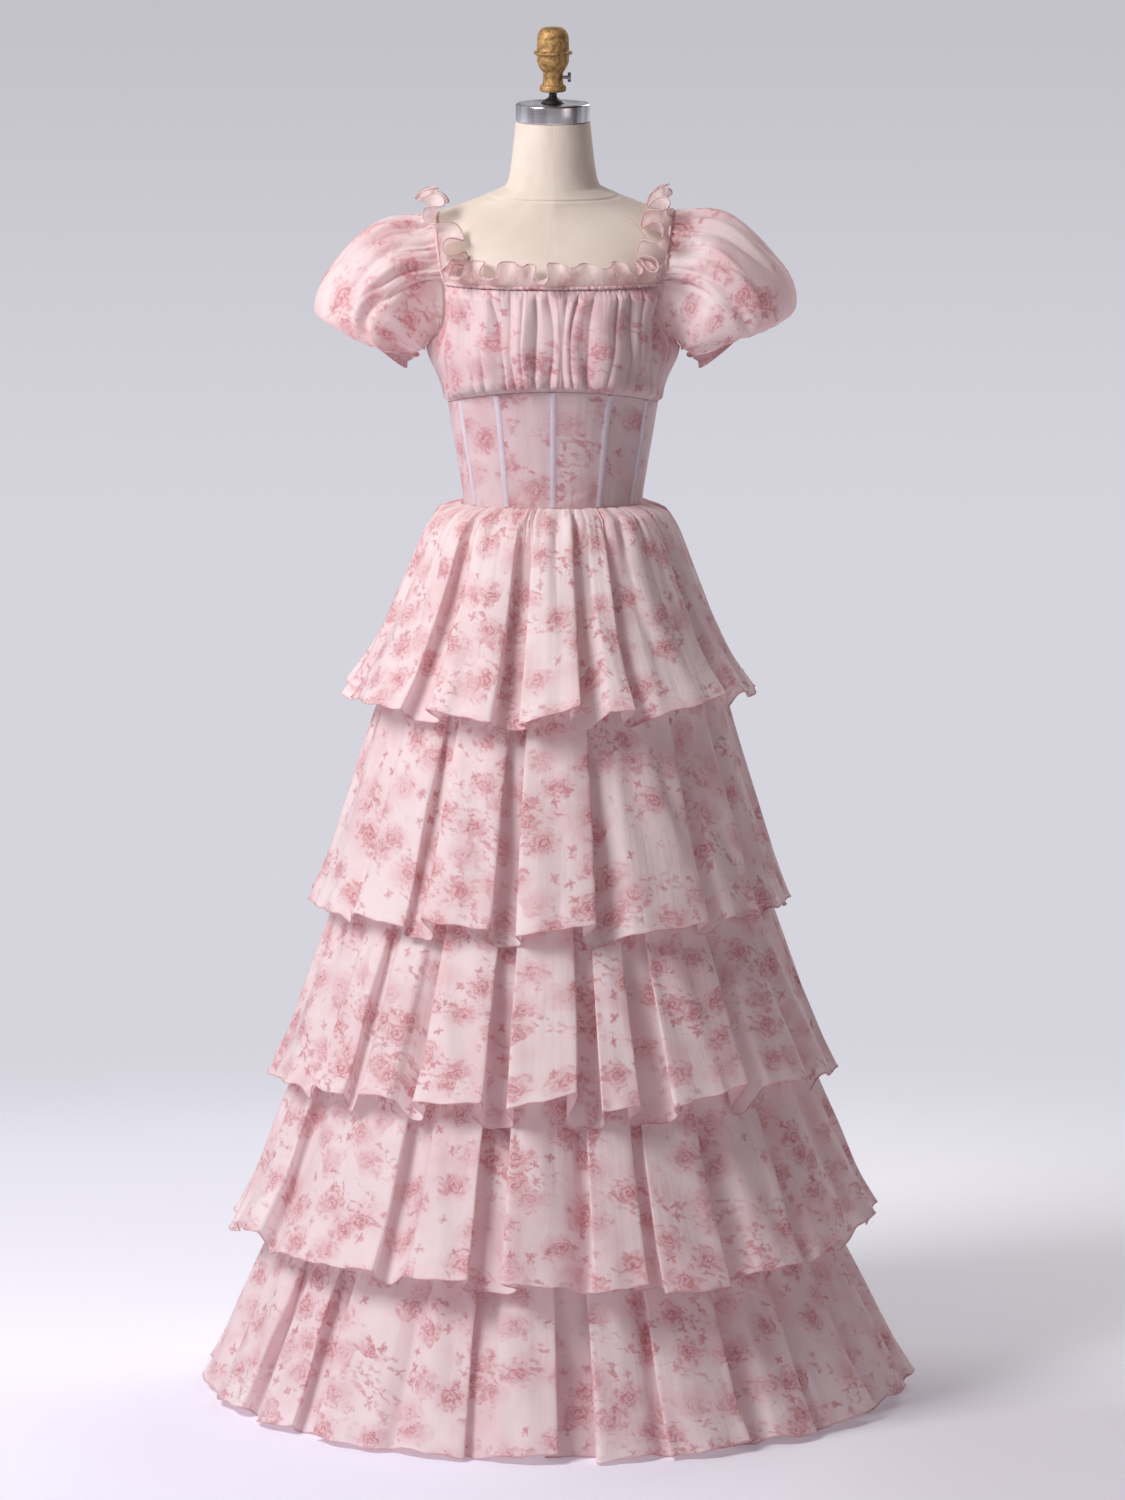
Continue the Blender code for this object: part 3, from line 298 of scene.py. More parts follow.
def crossed_waves(graph: Graph, place: object, scale: float, uneven: float, detail: float, down: str) -> tuple:
    """The two sets of yarns of a plain weave, as waves.

    Args:
        graph: the material's tree.
        place: where on the cloth.
        scale: how fine the waves are.
        uneven: how much the yarns waver.
        detail: how finely they waver.
        down: the axis that the second set is spaced along.

    Returns:
        The warp and the weft.
    """
    inputs = {"Vector": place, "Scale": scale, "Distortion": uneven, "Detail": detail}
    return graph.add("TexWave", inputs, 1), graph.add("TexWave", inputs, 1, bands_direction=down)


def mixed(graph: Graph, share: object, first: object, last: object) -> bpy.types.NodeSocket:
    """The first colour, with this share of the last one in it."""
    return graph.add("Mix", {0: share, 6: first, 7: last}, 2, data_type="RGBA")


def tinted(graph: Graph, colour: object, tint: object) -> bpy.types.NodeSocket:
    """A colour multiplied by another."""
    return graph.add("Mix", {0: 1.0, 6: colour, 7: tint}, 2, data_type="RGBA", blend_type="MULTIPLY")


# ---------------------------------------------------------------- finishes
@dataclass(frozen=True)
class Organza:
    """Polyester organza, plain woven from fine bright yarn and printed: sheer, crisp, with a faint silky sheen."""

    name: str = "printed_organza"
    ground: str = "#FCF3F5"
    wash: str = "#EFCBD0"
    petal: str = "#D58F97"
    deep: str = "#C4707B"
    print_share: float = 0.95
    opacity: float = 1.0
    glow: float = 0.30  # how much of the light comes through from behind
    rose: float = 0.064  # from one rose head to the next
    blossom: float = 0.026  # from one blossom to the next
    ribs: float = 0.45
    slant: float = -0.66  # how steeply the garlands run, in radians

    def make(self) -> bpy.types.Material:
        """The material."""
        material, graph = new_material(self.name)
        place = graph.add("UVMap", uv_map=CLOTH_MAP)
        colour = self.floral(graph, place)
        bump = self.weave(graph, place)
        front = graph.add(
            "BsdfPrincipled",
            {
                "Base Color": colour,
                "Roughness": 0.62,
                "Alpha": self.opacity,
                "Specular IOR Level": 0.35,
                "Sheen Weight": 0.45,
                "Sheen Roughness": 0.35,
                "Sheen Tint": linear("#FFF2F4"),
                "Normal": bump,
            },
        )
        # Light that comes through several layers of the dyed cloth turns warmer.
        warm = tinted(graph, colour, linear("#FFEDEA"))
        behind = graph.add("BsdfTranslucent", {"Color": warm, "Normal": bump})
        both = graph.add("MixShader", {0: self.glow, 1: front, 2: behind})
        graph.add("OutputMaterial", {"Surface": both})
        return material

    def weave(self, graph: Graph, place: bpy.types.NodeSocket) -> bpy.types.NodeSocket:
        """The cloth's fine surface: its yarns and the soft crumple that organza keeps.

        Args:
            graph: the material's tree.
            place: the place on the flat cloth.

        Returns:
            The bent normal.
        """
        # Yarns are 0.15 mm apart; at that size they don't show, so they are drawn 1.1 mm apart.
        warp, weft = crossed_waves(graph, place, 140.0, 1.5, 1.0, "Y")
        yarns = graph.add("Math", {0: warp, 1: weft}, operation="ADD")
        # Crumples are 8 to 30 mm across.
        crumple = graph.add("TexNoise", {"Vector": place, "Scale": 48.0, "Detail": 3.0, "Roughness": 0.55})
        # Ribs are soft creases that hang down the cloth, 10 to 30 mm apart.
        hung = graph.add("Mapping", {"Vector": place, "Scale": (58.0, 5.0, 1.0)})
        ribs = graph.add("TexNoise", {"Vector": hung, "Scale": 1.0, "Detail": 3.0, "Roughness": 0.5})
        fine = graph.add("Bump", {"Strength": 0.05, "Distance": 0.0004, "Height": yarns})
        fine = graph.add("Bump", {"Strength": self.ribs, "Distance": 0.004, "Height": ribs, "Normal": fine})
        return graph.add("Bump", {"Strength": 0.35, "Distance": 0.003, "Height": crumple, "Normal": fine})

    def floral(self, graph: Graph, place: bpy.types.NodeSocket) -> bpy.types.NodeSocket:
        """The watercolour print: blush clouds, loose rose heads, slanting garlands of leaves, and small blossoms.

        Args:
            graph: the material's tree.
            place: the place on the flat cloth.

        Returns:
            The colour.
        """

        def soft(value: object, low: float, high: float, to: float = 1.0, start: float = 0.0) -> object:
            """A soft step between two values."""
            ends = {0: value, 1: low, 2: high, 3: start, 4: to}
            return graph.add("MapRange", ends, interpolation_type="SMOOTHSTEP")

        def calc(operation: str, *values: object) -> object:
            """A sum of numbers or sockets."""
            return graph.add("Math", dict(enumerate(values)), operation=operation)

        def noise(vector: object, scale: float, detail: float = 2.0, out: int | str = 0) -> object:
            """Soft noise, with this many waves to the metre."""
            inputs = {"Vector": vector, "Scale": scale, "Detail": detail, "Roughness": 0.6}
            return graph.add("TexNoise", inputs, out)

        def flower(vector: object, size: float, share: float) -> tuple:
            """Cells of one flower each: distance from its middle, the angle round it, and whether it's printed."""
            inputs = {"Vector": vector, "Scale": 1 / size, "Randomness": 0.9}
            cells = graph.add("TexVoronoi", inputs, voronoi_dimensions="2D").node
            away = graph.add("VectorMath", {0: vector, 1: cells.outputs["Position"]}, operation="SUBTRACT")
            reach = graph.add("VectorMath", {0: away}, "Value", operation="LENGTH")
            axes = graph.add("SeparateXYZ", {0: away}).node
            luck = graph.add("SeparateColor", {0: cells.outputs["Color"]}).node
            bearing = calc("ARCTAN2", axes.outputs[1], axes.outputs[0])
            angle = calc("MULTIPLY_ADD", luck.outputs[1], 2 * math.pi, bearing)
            return reach, angle, calc("GREATER_THAN", luck.outputs[0], 1 - share)

        # The wet dye wavers by some 5 mm, and pools in blots 5 mm and 2 mm across.
        drift = {0: noise(place, 62.0, 3.0, "Color"), 1: (0.5, 0.5, 0.5)}
        drift = graph.add("VectorMath", drift, operation="SUBTRACT")
        drift = graph.add("VectorMath", {0: drift, "Scale": 0.016}, operation="SCALE")
        wet = graph.add("VectorMath", {0: place, 1: drift}, operation="ADD")
        blot, fray = noise(wet, 125.0, 2.0), noise(place, 240.0)
        slant = graph.add("Mapping", {"Vector": wet, "Rotation": (0, 0, self.slant), "Scale": (1.0, 1.45, 1.0)})

        # Rose heads, 25 to 40 mm across and longer along the slant; their petals are broken arcs 6 mm apart.
        reach, angle, printed = flower(slant, self.rose, 0.74)
        arms = calc("MULTIPLY_ADD", reach, 1 / 0.0085, calc("MULTIPLY", angle, 1 / (2 * math.pi)))
        arms = calc("PINGPONG", calc("MULTIPLY_ADD", blot, 2.4, arms), 0.5)
        petals = soft(arms, 0.06, 0.40, 1.0, 0.25)
        body = calc("MULTIPLY", soft(calc("MULTIPLY_ADD", blot, 0.040, reach), 0.0430, 0.0270), printed)
        halo = calc("MULTIPLY", soft(reach, 0.044, 0.010), printed)
        rose = calc("MULTIPLY", body, petals)

        # Garlands join the heads: bands 35 mm wide of leaf strokes 8 mm long.
        run = graph.add("Mapping", {"Vector": slant, "Scale": (6.0, 20.0, 1.0)})
        band = soft(noise(run, 1.0, 1.0), 0.525, 0.60)
        blades = graph.add("Mapping", {"Vector": slant, "Scale": (70.0, 95.0, 1.0)})
        band = calc("MAXIMUM", band, soft(halo, 0.22, 0.55, 0.8))
        leaves = calc("MULTIPLY", soft(noise(blades, 1.0, 1.0), 0.47, 0.66, 0.85), band)

        # Blossoms of four uneven petals, 15 mm across, strewn between.
        reach, angle, printed = flower(wet, self.blossom, 0.30)
        lobes = calc("ABSOLUTE", calc("COSINE", calc("MULTIPLY", angle, 2.0)))
        lobes = calc("MULTIPLY_ADD", lobes, 0.0050, calc("MULTIPLY_ADD", fray, 0.0080, -0.0018))
        blossom = calc("MULTIPLY", soft(calc("SUBTRACT", lobes, reach), -0.0022, 0.0026, 0.8), printed)
        # Seeds, 2 mm across, at the blossoms' hearts and strewn near the heads.
        dot, _, seeded = flower(wet, 0.0120, 0.08)
        seeds = calc("MULTIPLY", soft(dot, 0.0021, 0.0005, 0.55), calc("MULTIPLY", seeded, soft(halo, 0.25, 0.45)))
        eye = calc("MULTIPLY", soft(reach, 0.0032, 0.0006, 0.35), printed)

        ink = calc("MAXIMUM", calc("MAXIMUM", rose, leaves), blossom)
        ink = calc("MULTIPLY", ink, soft(noise(place, 13.0, 3.0), 0.37, 0.55, self.print_share, 0.12))
        ink = calc("MULTIPLY", ink, soft(fray, 0.25, 0.60, 1.0, 0.72))
        cloud = soft(noise(wet, 10.0, 2.0), 0.46, 0.72, 0.55)
        cloud = calc("MAXIMUM", cloud, calc("MULTIPLY", halo, 0.55))
        dark = calc("MULTIPLY", calc("MULTIPLY", body, soft(arms, 0.22, 0.48)), soft(blot, 0.46, 0.62, 0.60))
        dark = calc("MAXIMUM", calc("MAXIMUM", seeds, eye), dark)
        colour = linear(self.ground)
        for share, tone in ((cloud, self.wash), (ink, self.petal), (dark, self.deep)):
            colour = mixed(graph, share, colour, linear(tone))
        return colour


@dataclass(frozen=True)
class PlainCloth:
    """A plain dyed cloth with a woven or satin surface."""

    name: str
    colour: str
    shade: str
    roughness: float
    sheen: float
    yarn: float  # from one drawn yarn to the next, in metres
    bump: float
    glow: float = 0.0
    flecks: float = 0.0  # the slubs of an uneven yarn
    mapped: bool = True  # whether it reads the cloth map rather than the object's own coordinates

    def make(self) -> bpy.types.Material:
        """The material."""
        material, graph = new_material(self.name)
        place = graph.add("UVMap", uv_map=CLOTH_MAP) if self.mapped else graph.add("TexCoord", out="Object")
        # A wave texture of scale one has about 6.5 waves to the unit.
        warp, weft = crossed_waves(graph, place, 1 / (6.5 * self.yarn), 2.0, 2.0, "Y" if self.mapped else "Z")
        yarns = graph.add("Math", {0: warp, 1: weft}, operation="MULTIPLY")
        patch = graph.add("TexNoise", {"Vector": place, "Scale": 14.0, "Detail": 4.0, "Roughness": 0.6})
        slubs = graph.add("Math", {0: yarns, 1: self.flecks, 2: patch}, operation="MULTIPLY_ADD")
        tone = graph.add("MapRange", {0: slubs, 1: 0.35, 2: 0.75})
        colour = mixed(graph, tone, linear(self.colour), linear(self.shade))
        bump = graph.add("Bump", {"Strength": self.bump, "Distance": 0.0006, "Height": yarns})
        surface = graph.add(
            "BsdfPrincipled",
            {
                "Base Color": colour,
                "Roughness": self.roughness,
                "Sheen Weight": self.sheen,
                "Sheen Roughness": 0.4,
                "Normal": bump,
            },
        )
        if self.glow:
            behind = graph.add("BsdfTranslucent", {"Color": colour, "Normal": bump})
            surface = graph.add("MixShader", {0: self.glow, 1: surface, 2: behind})
        graph.add("OutputMaterial", {"Surface": surface})
        return material


@dataclass(frozen=True)
class Metal:
    """A metal or painted metal part, with the streaks, worn patches and dents that its making leaves; on the steel
    the patches run up and down as bands of painted reflection.
    """

    name: str
    colour: str
    # The colour of the worn patches; on the brushed steel, the dark of its painted reflection bands.
    worn: str
    roughness: float
    metallic: float
    streaks: tuple[float, float, float]  # how fine the marks are along X, Y and Z, per metre
    bump: float
    spread: float = 0.12  # how much the roughness varies
    grain: tuple[float, float, float] = (160.0, 160.0, 160.0)  # how fine the worn patches are, per metre; on the steel, how fine its painted reflection bands are

    def make(self) -> bpy.types.Material:
        """The material."""
        material, graph = new_material(self.name)
        place = graph.add("TexCoord", out="Object")
        along = graph.add("Mapping", {"Vector": place, "Scale": self.streaks})
        marks = graph.add("TexNoise", {"Vector": along, "Scale": 1.0, "Detail": 5.0, "Roughness": 0.65})
        # Worn patches; on the brushed steel they are stretched upright into dark and light bands of painted
        # reflection.
        patch_and_band_place = graph.add("Mapping", {"Vector": place, "Scale": self.grain})
        patina_and_reflection_bands = graph.add("TexNoise", {"Vector": patch_and_band_place, "Scale": 1.0, "Detail": 4.0, "Roughness": 0.5})
        wear_and_reflection_share = graph.add("MapRange", {0: patina_and_reflection_bands, 1: 0.42, 2: 0.68})
        colour = mixed(graph, wear_and_reflection_share, linear(self.colour), linear(self.worn))
        low, high = self.roughness - self.spread, self.roughness + self.spread
        rough = graph.add("MapRange", {0: marks, 1: 0.3, 2: 0.7, 3: max(low, 0.04), 4: high})
        bump = graph.add("Bump", {"Strength": self.bump, "Distance": 0.0004, "Height": marks})
        surface = graph.add(
            "BsdfPrincipled",
            {"Base Color": colour, "Roughness": rough, "Metallic": self.metallic, "Normal": bump},
        )
        graph.add("OutputMaterial", {"Surface": surface})
        return material


class Finishes:
    """Every material of the dress, the form and the stand, each made once."""

    def __init__(self) -> None:
        """Makes them."""
        self.skirt = Organza("printed_organza_skirt", opacity=0.86).make()
        self.bodice = Organza(
            "printed_organza_bodice", ground="#D8C1C4", wash="#D0A5AB", petal="#BD7680", glow=0.06
        ).make()
        self.puff = Organza("printed_organza_sleeve", glow=0.34, opacity=0.88).make()
        self.ruffle = Organza("printed_organza_frill", glow=0.30, opacity=0.55, print_share=0.5).make()
        # The organza where it is gathered tight, several layers thick, over elastic.
        self.gathered = Organza("ruched_organza", ground="#E2C2C6", wash="#C48F97", petal="#A3666F", glow=0.12).make()
        # A rolled hem is three layers of the organza, so it is denser and pinker than the sheet.
        self.hem = Organza("rolled_organza_hem", ground="#F0D2D6", wash="#E2B6BC", petal="#D39AA2").make()
        # The frill's narrow edging, overlocked in pale thread.
        self.rim = Organza("overlocked_organza_edge", ground="#E6CFCC", wash="#D9B5B3", petal="#C99593").make()
        # Plain dyed organza, the skirt's underlayer.
        self.under = PlainCloth(
            "plain_organza_underskirt", "#F3DCE0", "#EFD0D6", 0.6, 0.2, 0.0011, 0.06, glow=0.35
        ).make()
        # Woven satin ribbon: smooth, with a soft cool lustre.
        self.ribbon = PlainCloth("satin_ribbon_casing", "#D6CBD6", "#C3B6C4", 0.34, 0.35, 0.0010, 0.15).make()
        # Spun polyester thread.
        self.thread = PlainCloth(
            "spun_polyester_thread", "#DDB4BC", "#CFA0AA", 0.6, 0.2, 0.0008, 0.1, mapped=False
        ).make()
        # Natural linen jersey over a padded shell: pale cream, matt, with slubs.
        self.linen = PlainCloth(
            "natural_linen_cover", "#DDD1C7", "#D0C2B5", 0.88, 0.15, 0.0011, 0.07, flecks=0.10
        ).make()
        # Spun steel, brushed round its axis and lightly polished, with upright dark and light bands of painted
        # reflection in its colour.
        self.steel = Metal(
            "brushed_steel", "#DCDADF", "#757276", 0.22, 1.0, (30.0, 30.0, 2600.0), 0.04, grain=(46.0, 46.0, 3.0)
        ).make()
        # Cast brass, hammered and aged.
        self.brass = Metal("aged_hammered_brass", "#B8935F", "#7A5A35", 0.60, 0.55, (420.0, 420.0, 420.0), 0.5).make()
        # Steel, powder coated satin black.
        self.black = Metal("black_powder_coat", "#1B1A1B", "#242224", 0.42, 0.0, (900.0, 900.0, 900.0), 0.12).make()
        # Moulded nylon zip coil and its woven tape.
        self.coil = Metal("nylon_zip_coil", "#E3B6BE", "#D8A6AF", 0.42, 0.0, (500.0, 500.0, 500.0), 0.05).make()


# ---------------------------------------------------------------- meshes
@dataclass
class Patch:
    """A grid of points, top to bottom and left to right as seen from outside, with its place on the flat cloth."""

    points: Array
    cloth: Array | None = None
    round_columns: bool = False
    round_rows: bool = False
    slot: int = 0

    def faces(self) -> tuple[Array, Array]:
        """The grid's quads.

        Returns:
            The corners of each quad as point numbers, and the same corners as numbers in the cloth grid.
        """
        rows, columns = self.points.shape[:2]
        j = np.arange(rows if self.round_rows else rows - 1)[:, None]
        i = np.arange(columns if self.round_columns else columns - 1)[None, :]
        below, right = (j + 1) % rows, (i + 1) % columns
        corners = [j * columns + i, below * columns + i, below * columns + right, j * columns + right]
        wide = columns + 1
        places = [j * wide + i, (j + 1) * wide + i, (j + 1) * wide + i + 1, j * wide + i + 1]
        shape = (len(j), i.shape[1])
        stack = [np.stack([np.broadcast_to(c, shape) for c in q], -1).reshape(-1, 4) for q in (corners, places)]
        return stack[0], stack[1]

    def flat(self) -> Array:
        """The place on the cloth of every corner that faces() names: one row and one column more than points."""
        rows, columns = self.points.shape[:2]
        full = np.zeros((rows + 1, columns + 1, 2))
        if self.cloth is not None:
            given = self.cloth
            full[: given.shape[0], : given.shape[1]] = given
            if given.shape[1] == columns:
                full[:rows, columns] = 2 * given[:, -1] - given[:, -2]
            full[rows] = full[rows - 1]
        return full.reshape(-1, 2)


def add_object(name: str, data: bpy.types.ID) -> bpy.types.Object:
    """An object of this mesh, light or camera, in the scene."""
    made = bpy.data.objects.new(name, data)
    bpy.context.scene.collection.objects.link(made)
    return made


def build(name: str, patches: Sequence[Patch], finishes: Sequence[bpy.types.Material]) -> bpy.types.Object:
    """Makes one smooth piece of its patches.

    Args:
        name: the piece's name.
        patches: its grids.
        finishes: its material slots.

    Returns:
        The piece.
    """
    points, quads, places, slots = [], [], [], []
    offset = 0
    for patch in patches:
        corners, flats = patch.faces()
        points.append(patch.points.reshape(-1, 3))
        quads.append(corners + offset)
        places.append(patch.flat()[flats.reshape(-1)])
        slots.append(np.full(len(corners), patch.slot))
        offset += patch.points.shape[0] * patch.points.shape[1]
    mesh = bpy.data.meshes.new(name)
    mesh.from_pydata(np.concatenate(points).tolist(), [], np.concatenate(quads).tolist())
    for finish in finishes:
        mesh.materials.append(finish)
    mesh.polygons.foreach_set("material_index", np.concatenate(slots).astype(np.int32))
    layer = mesh.uv_layers.new(name=CLOTH_MAP)
    layer.data.foreach_set("uv", np.concatenate(places).astype(np.float32).reshape(-1))
    mesh.shade_smooth()
    mesh.update()
    log.info("%s: %d points, %d faces", name, len(mesh.vertices), len(mesh.polygons))
    return add_object(name, mesh)


def bead(line: Array, radius: float, closed: bool, slot: int, cloth: Array | None = None, sides: int = 6) -> Patch:
    """A thin round roll along a line, such as a rolled hem.

    Args:
        line: the points along its middle.
        radius: half its thickness.
        closed: whether it runs into itself.
        slot: its material slot.
        cloth: the place on the flat cloth of each point of the line.
        sides: how many sides it has.

    Returns:
        The roll's patch.
    """
    after = np.roll(line, -1, axis=0) if closed else np.vstack((line[1:], line[-1:]))
    before = np.roll(line, 1, axis=0) if closed else np.vstack((line[:1], line[:-1]))
    tangent = unit(after - before)
    aside = unit(np.cross(tangent, UP))
    over = np.cross(aside, tangent)
    turns = np.linspace(0, 2 * math.pi, sides, endpoint=False)[:, None, None]
    points = line + radius * (np.cos(turns) * aside + np.sin(turns) * -over)
    flat = None
    if cloth is not None:
        flat = cloth[None, :, :] + np.stack((np.zeros(sides), np.arange(sides) * radius), -1)[:, None, :]
    return Patch(points, flat, round_columns=closed, round_rows=True, slot=slot)


def turned(profile: Sequence[tuple[float, float]], segments: int, dents: Array | float = 0.0) -> Patch:
    """A surface of revolution round the stand's axis.

    Args:
        profile: (radius, height) from the top down.
        segments: how many columns it has.
        dents: how far each point stands out from the profile.

    Returns:
        The surface's patch.
    """
    line = np.asarray(profile, float)
    turns = np.linspace(0, 2 * math.pi, segments, endpoint=False)
    radius, height, turns = np.broadcast_arrays(line[:, :1] + dents, line[:, 1:], turns)
    points = np.stack((radius * np.sin(turns), -radius * np.cos(turns), height), -1)
    return Patch(points, on_cloth(0.05 * turns, length_along(line)[:, None]), round_columns=True)


def rounded(profile: Sequence[tuple[float, float]], step: float) -> Array:
    """A profile with its line smoothed and cut into short steps."""
    line = np.asarray(profile, float)
    knots = length_along(line)
    return curve(knots, line, np.linspace(0, knots[-1], int(knots[-1] / step) + 2))


class Bit(Enum):
    """The small solids that are set along a line."""

    STITCH = "stitch"
    TOOTH = "tooth"


@dataclass(frozen=True)
class Run:
    """A run of small solids along lines, set there by Geometry Nodes."""

    bit: Bit
    pitch: float
    size: tuple[float, float, float]  # across, up and along the line

    def tree(self, finish: bpy.types.Material) -> bpy.types.NodeTree:
        """Writes the node tree.

        Args:
            finish: the bits' material.

        Returns:
            The tree, whose inputs after the geometry are Pitch, Across, Up and Along.
        """
        tree = bpy.data.node_groups.new(f"{self.bit.value}_run", "GeometryNodeTree")
        tree.interface.new_socket("Line", in_out="INPUT", socket_type="NodeSocketGeometry")
        for name in ("Pitch", "Across", "Up", "Along"):
            tree.interface.new_socket(name, in_out="INPUT", socket_type="NodeSocketFloat")
        tree.interface.new_socket("Bits", in_out="OUTPUT", socket_type="NodeSocketGeometry")
        graph = Graph(tree, "GeometryNode")
        given = graph.add("NodeGroupInput").node
        line = graph.add("MeshToCurve", {"Mesh": given.outputs["Line"]})
        spaced = graph.add("ResampleCurve", {"Curve": line, "Length": given.outputs["Pitch"]}, mode="LENGTH")
        size = graph.add(
            "ShaderNodeCombineXYZ",
            {0: given.outputs["Across"], 1: given.outputs["Up"], 2: given.outputs["Along"]},
        )
        if self.bit is Bit.STITCH:
            solid = graph.add("MeshUVSphere", {"Segments": 6, "Rings": 4, "Radius": 0.5})
        else:
            solid = graph.add("MeshCube", {"Size": (1.0, 1.0, 1.0)})
        turn = graph.add("FunctionNodeAlignRotationToVector", {"Vector": graph.add("InputTangent")}, axis="Z")
        uneven = graph.add(
            "FunctionNodeRandomValue",
            {0: (0.9, 0.9, 0.85), 1: (1.1, 1.1, 1.1), "Seed": 7},
            data_type="FLOAT_VECTOR",
        )
        scale = graph.add("ShaderNodeVectorMath", {0: size, 1: uneven}, operation="MULTIPLY")
        placed = graph.add(
            "InstanceOnPoints", {"Points": spaced, "Instance": solid, "Rotation": turn, "Scale": scale}
        )
        real = graph.add("RealizeInstances", {"Geometry": placed})
        dressed = graph.add("SetMaterial", {"Geometry": real, "Material": finish})
        graph.add("NodeGroupOutput", {"Bits": dressed})
        return tree

    def make(self, name: str, lines: Sequence[Array], finish: bpy.types.Material) -> bpy.types.Object:
        """Sets the bits along the lines.

        Args:
            name: the piece's name.
            lines: the points of each line.
            finish: the bits' material.

        Returns:
            One plain mesh of them all.
        """
        points, edges = [], []
        for line in lines:
            edges += [(len(points) + k, len(points) + k + 1) for k in range(len(line) - 1)]
            points += line.tolist()
        guide = bpy.data.meshes.new(f"{name}_guide")
        guide.from_pydata(points, edges, [])
        holder = add_object(f"{name}_guide", guide)
        modifier = holder.modifiers.new("run", "NODES")
        modifier.node_group = self.tree(finish)
        values = dict(zip(("Pitch", "Across", "Up", "Along"), (self.pitch, *self.size)))
        for socket in modifier.node_group.interface.items_tree:
            if socket.name in values:
                modifier[socket.identifier] = values[socket.name]
        ready = holder.evaluated_get(bpy.context.evaluated_depsgraph_get())
        mesh = bpy.data.meshes.new_from_object(ready)
        mesh.name = name
        holder.modifiers.clear()
        bpy.data.objects.remove(holder, do_unlink=True)
        mesh.shade_smooth()
        log.info("%s: %d faces", name, len(mesh.polygons))
        return add_object(name, mesh)


def carry(piece: bpy.types.Object, body: str, slot: str, *nodes: str) -> bpy.types.Object:
    """Gives a piece its body and hides the solids it stands for.

    Args:
        piece: the piece.
        body: the body it rides on.
        slot: the record's material slot; not used.
        nodes: the solids it replaces.

    Returns:
        The piece.
    """
    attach(piece, body)
    if nodes:
        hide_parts(*nodes)
    return piece


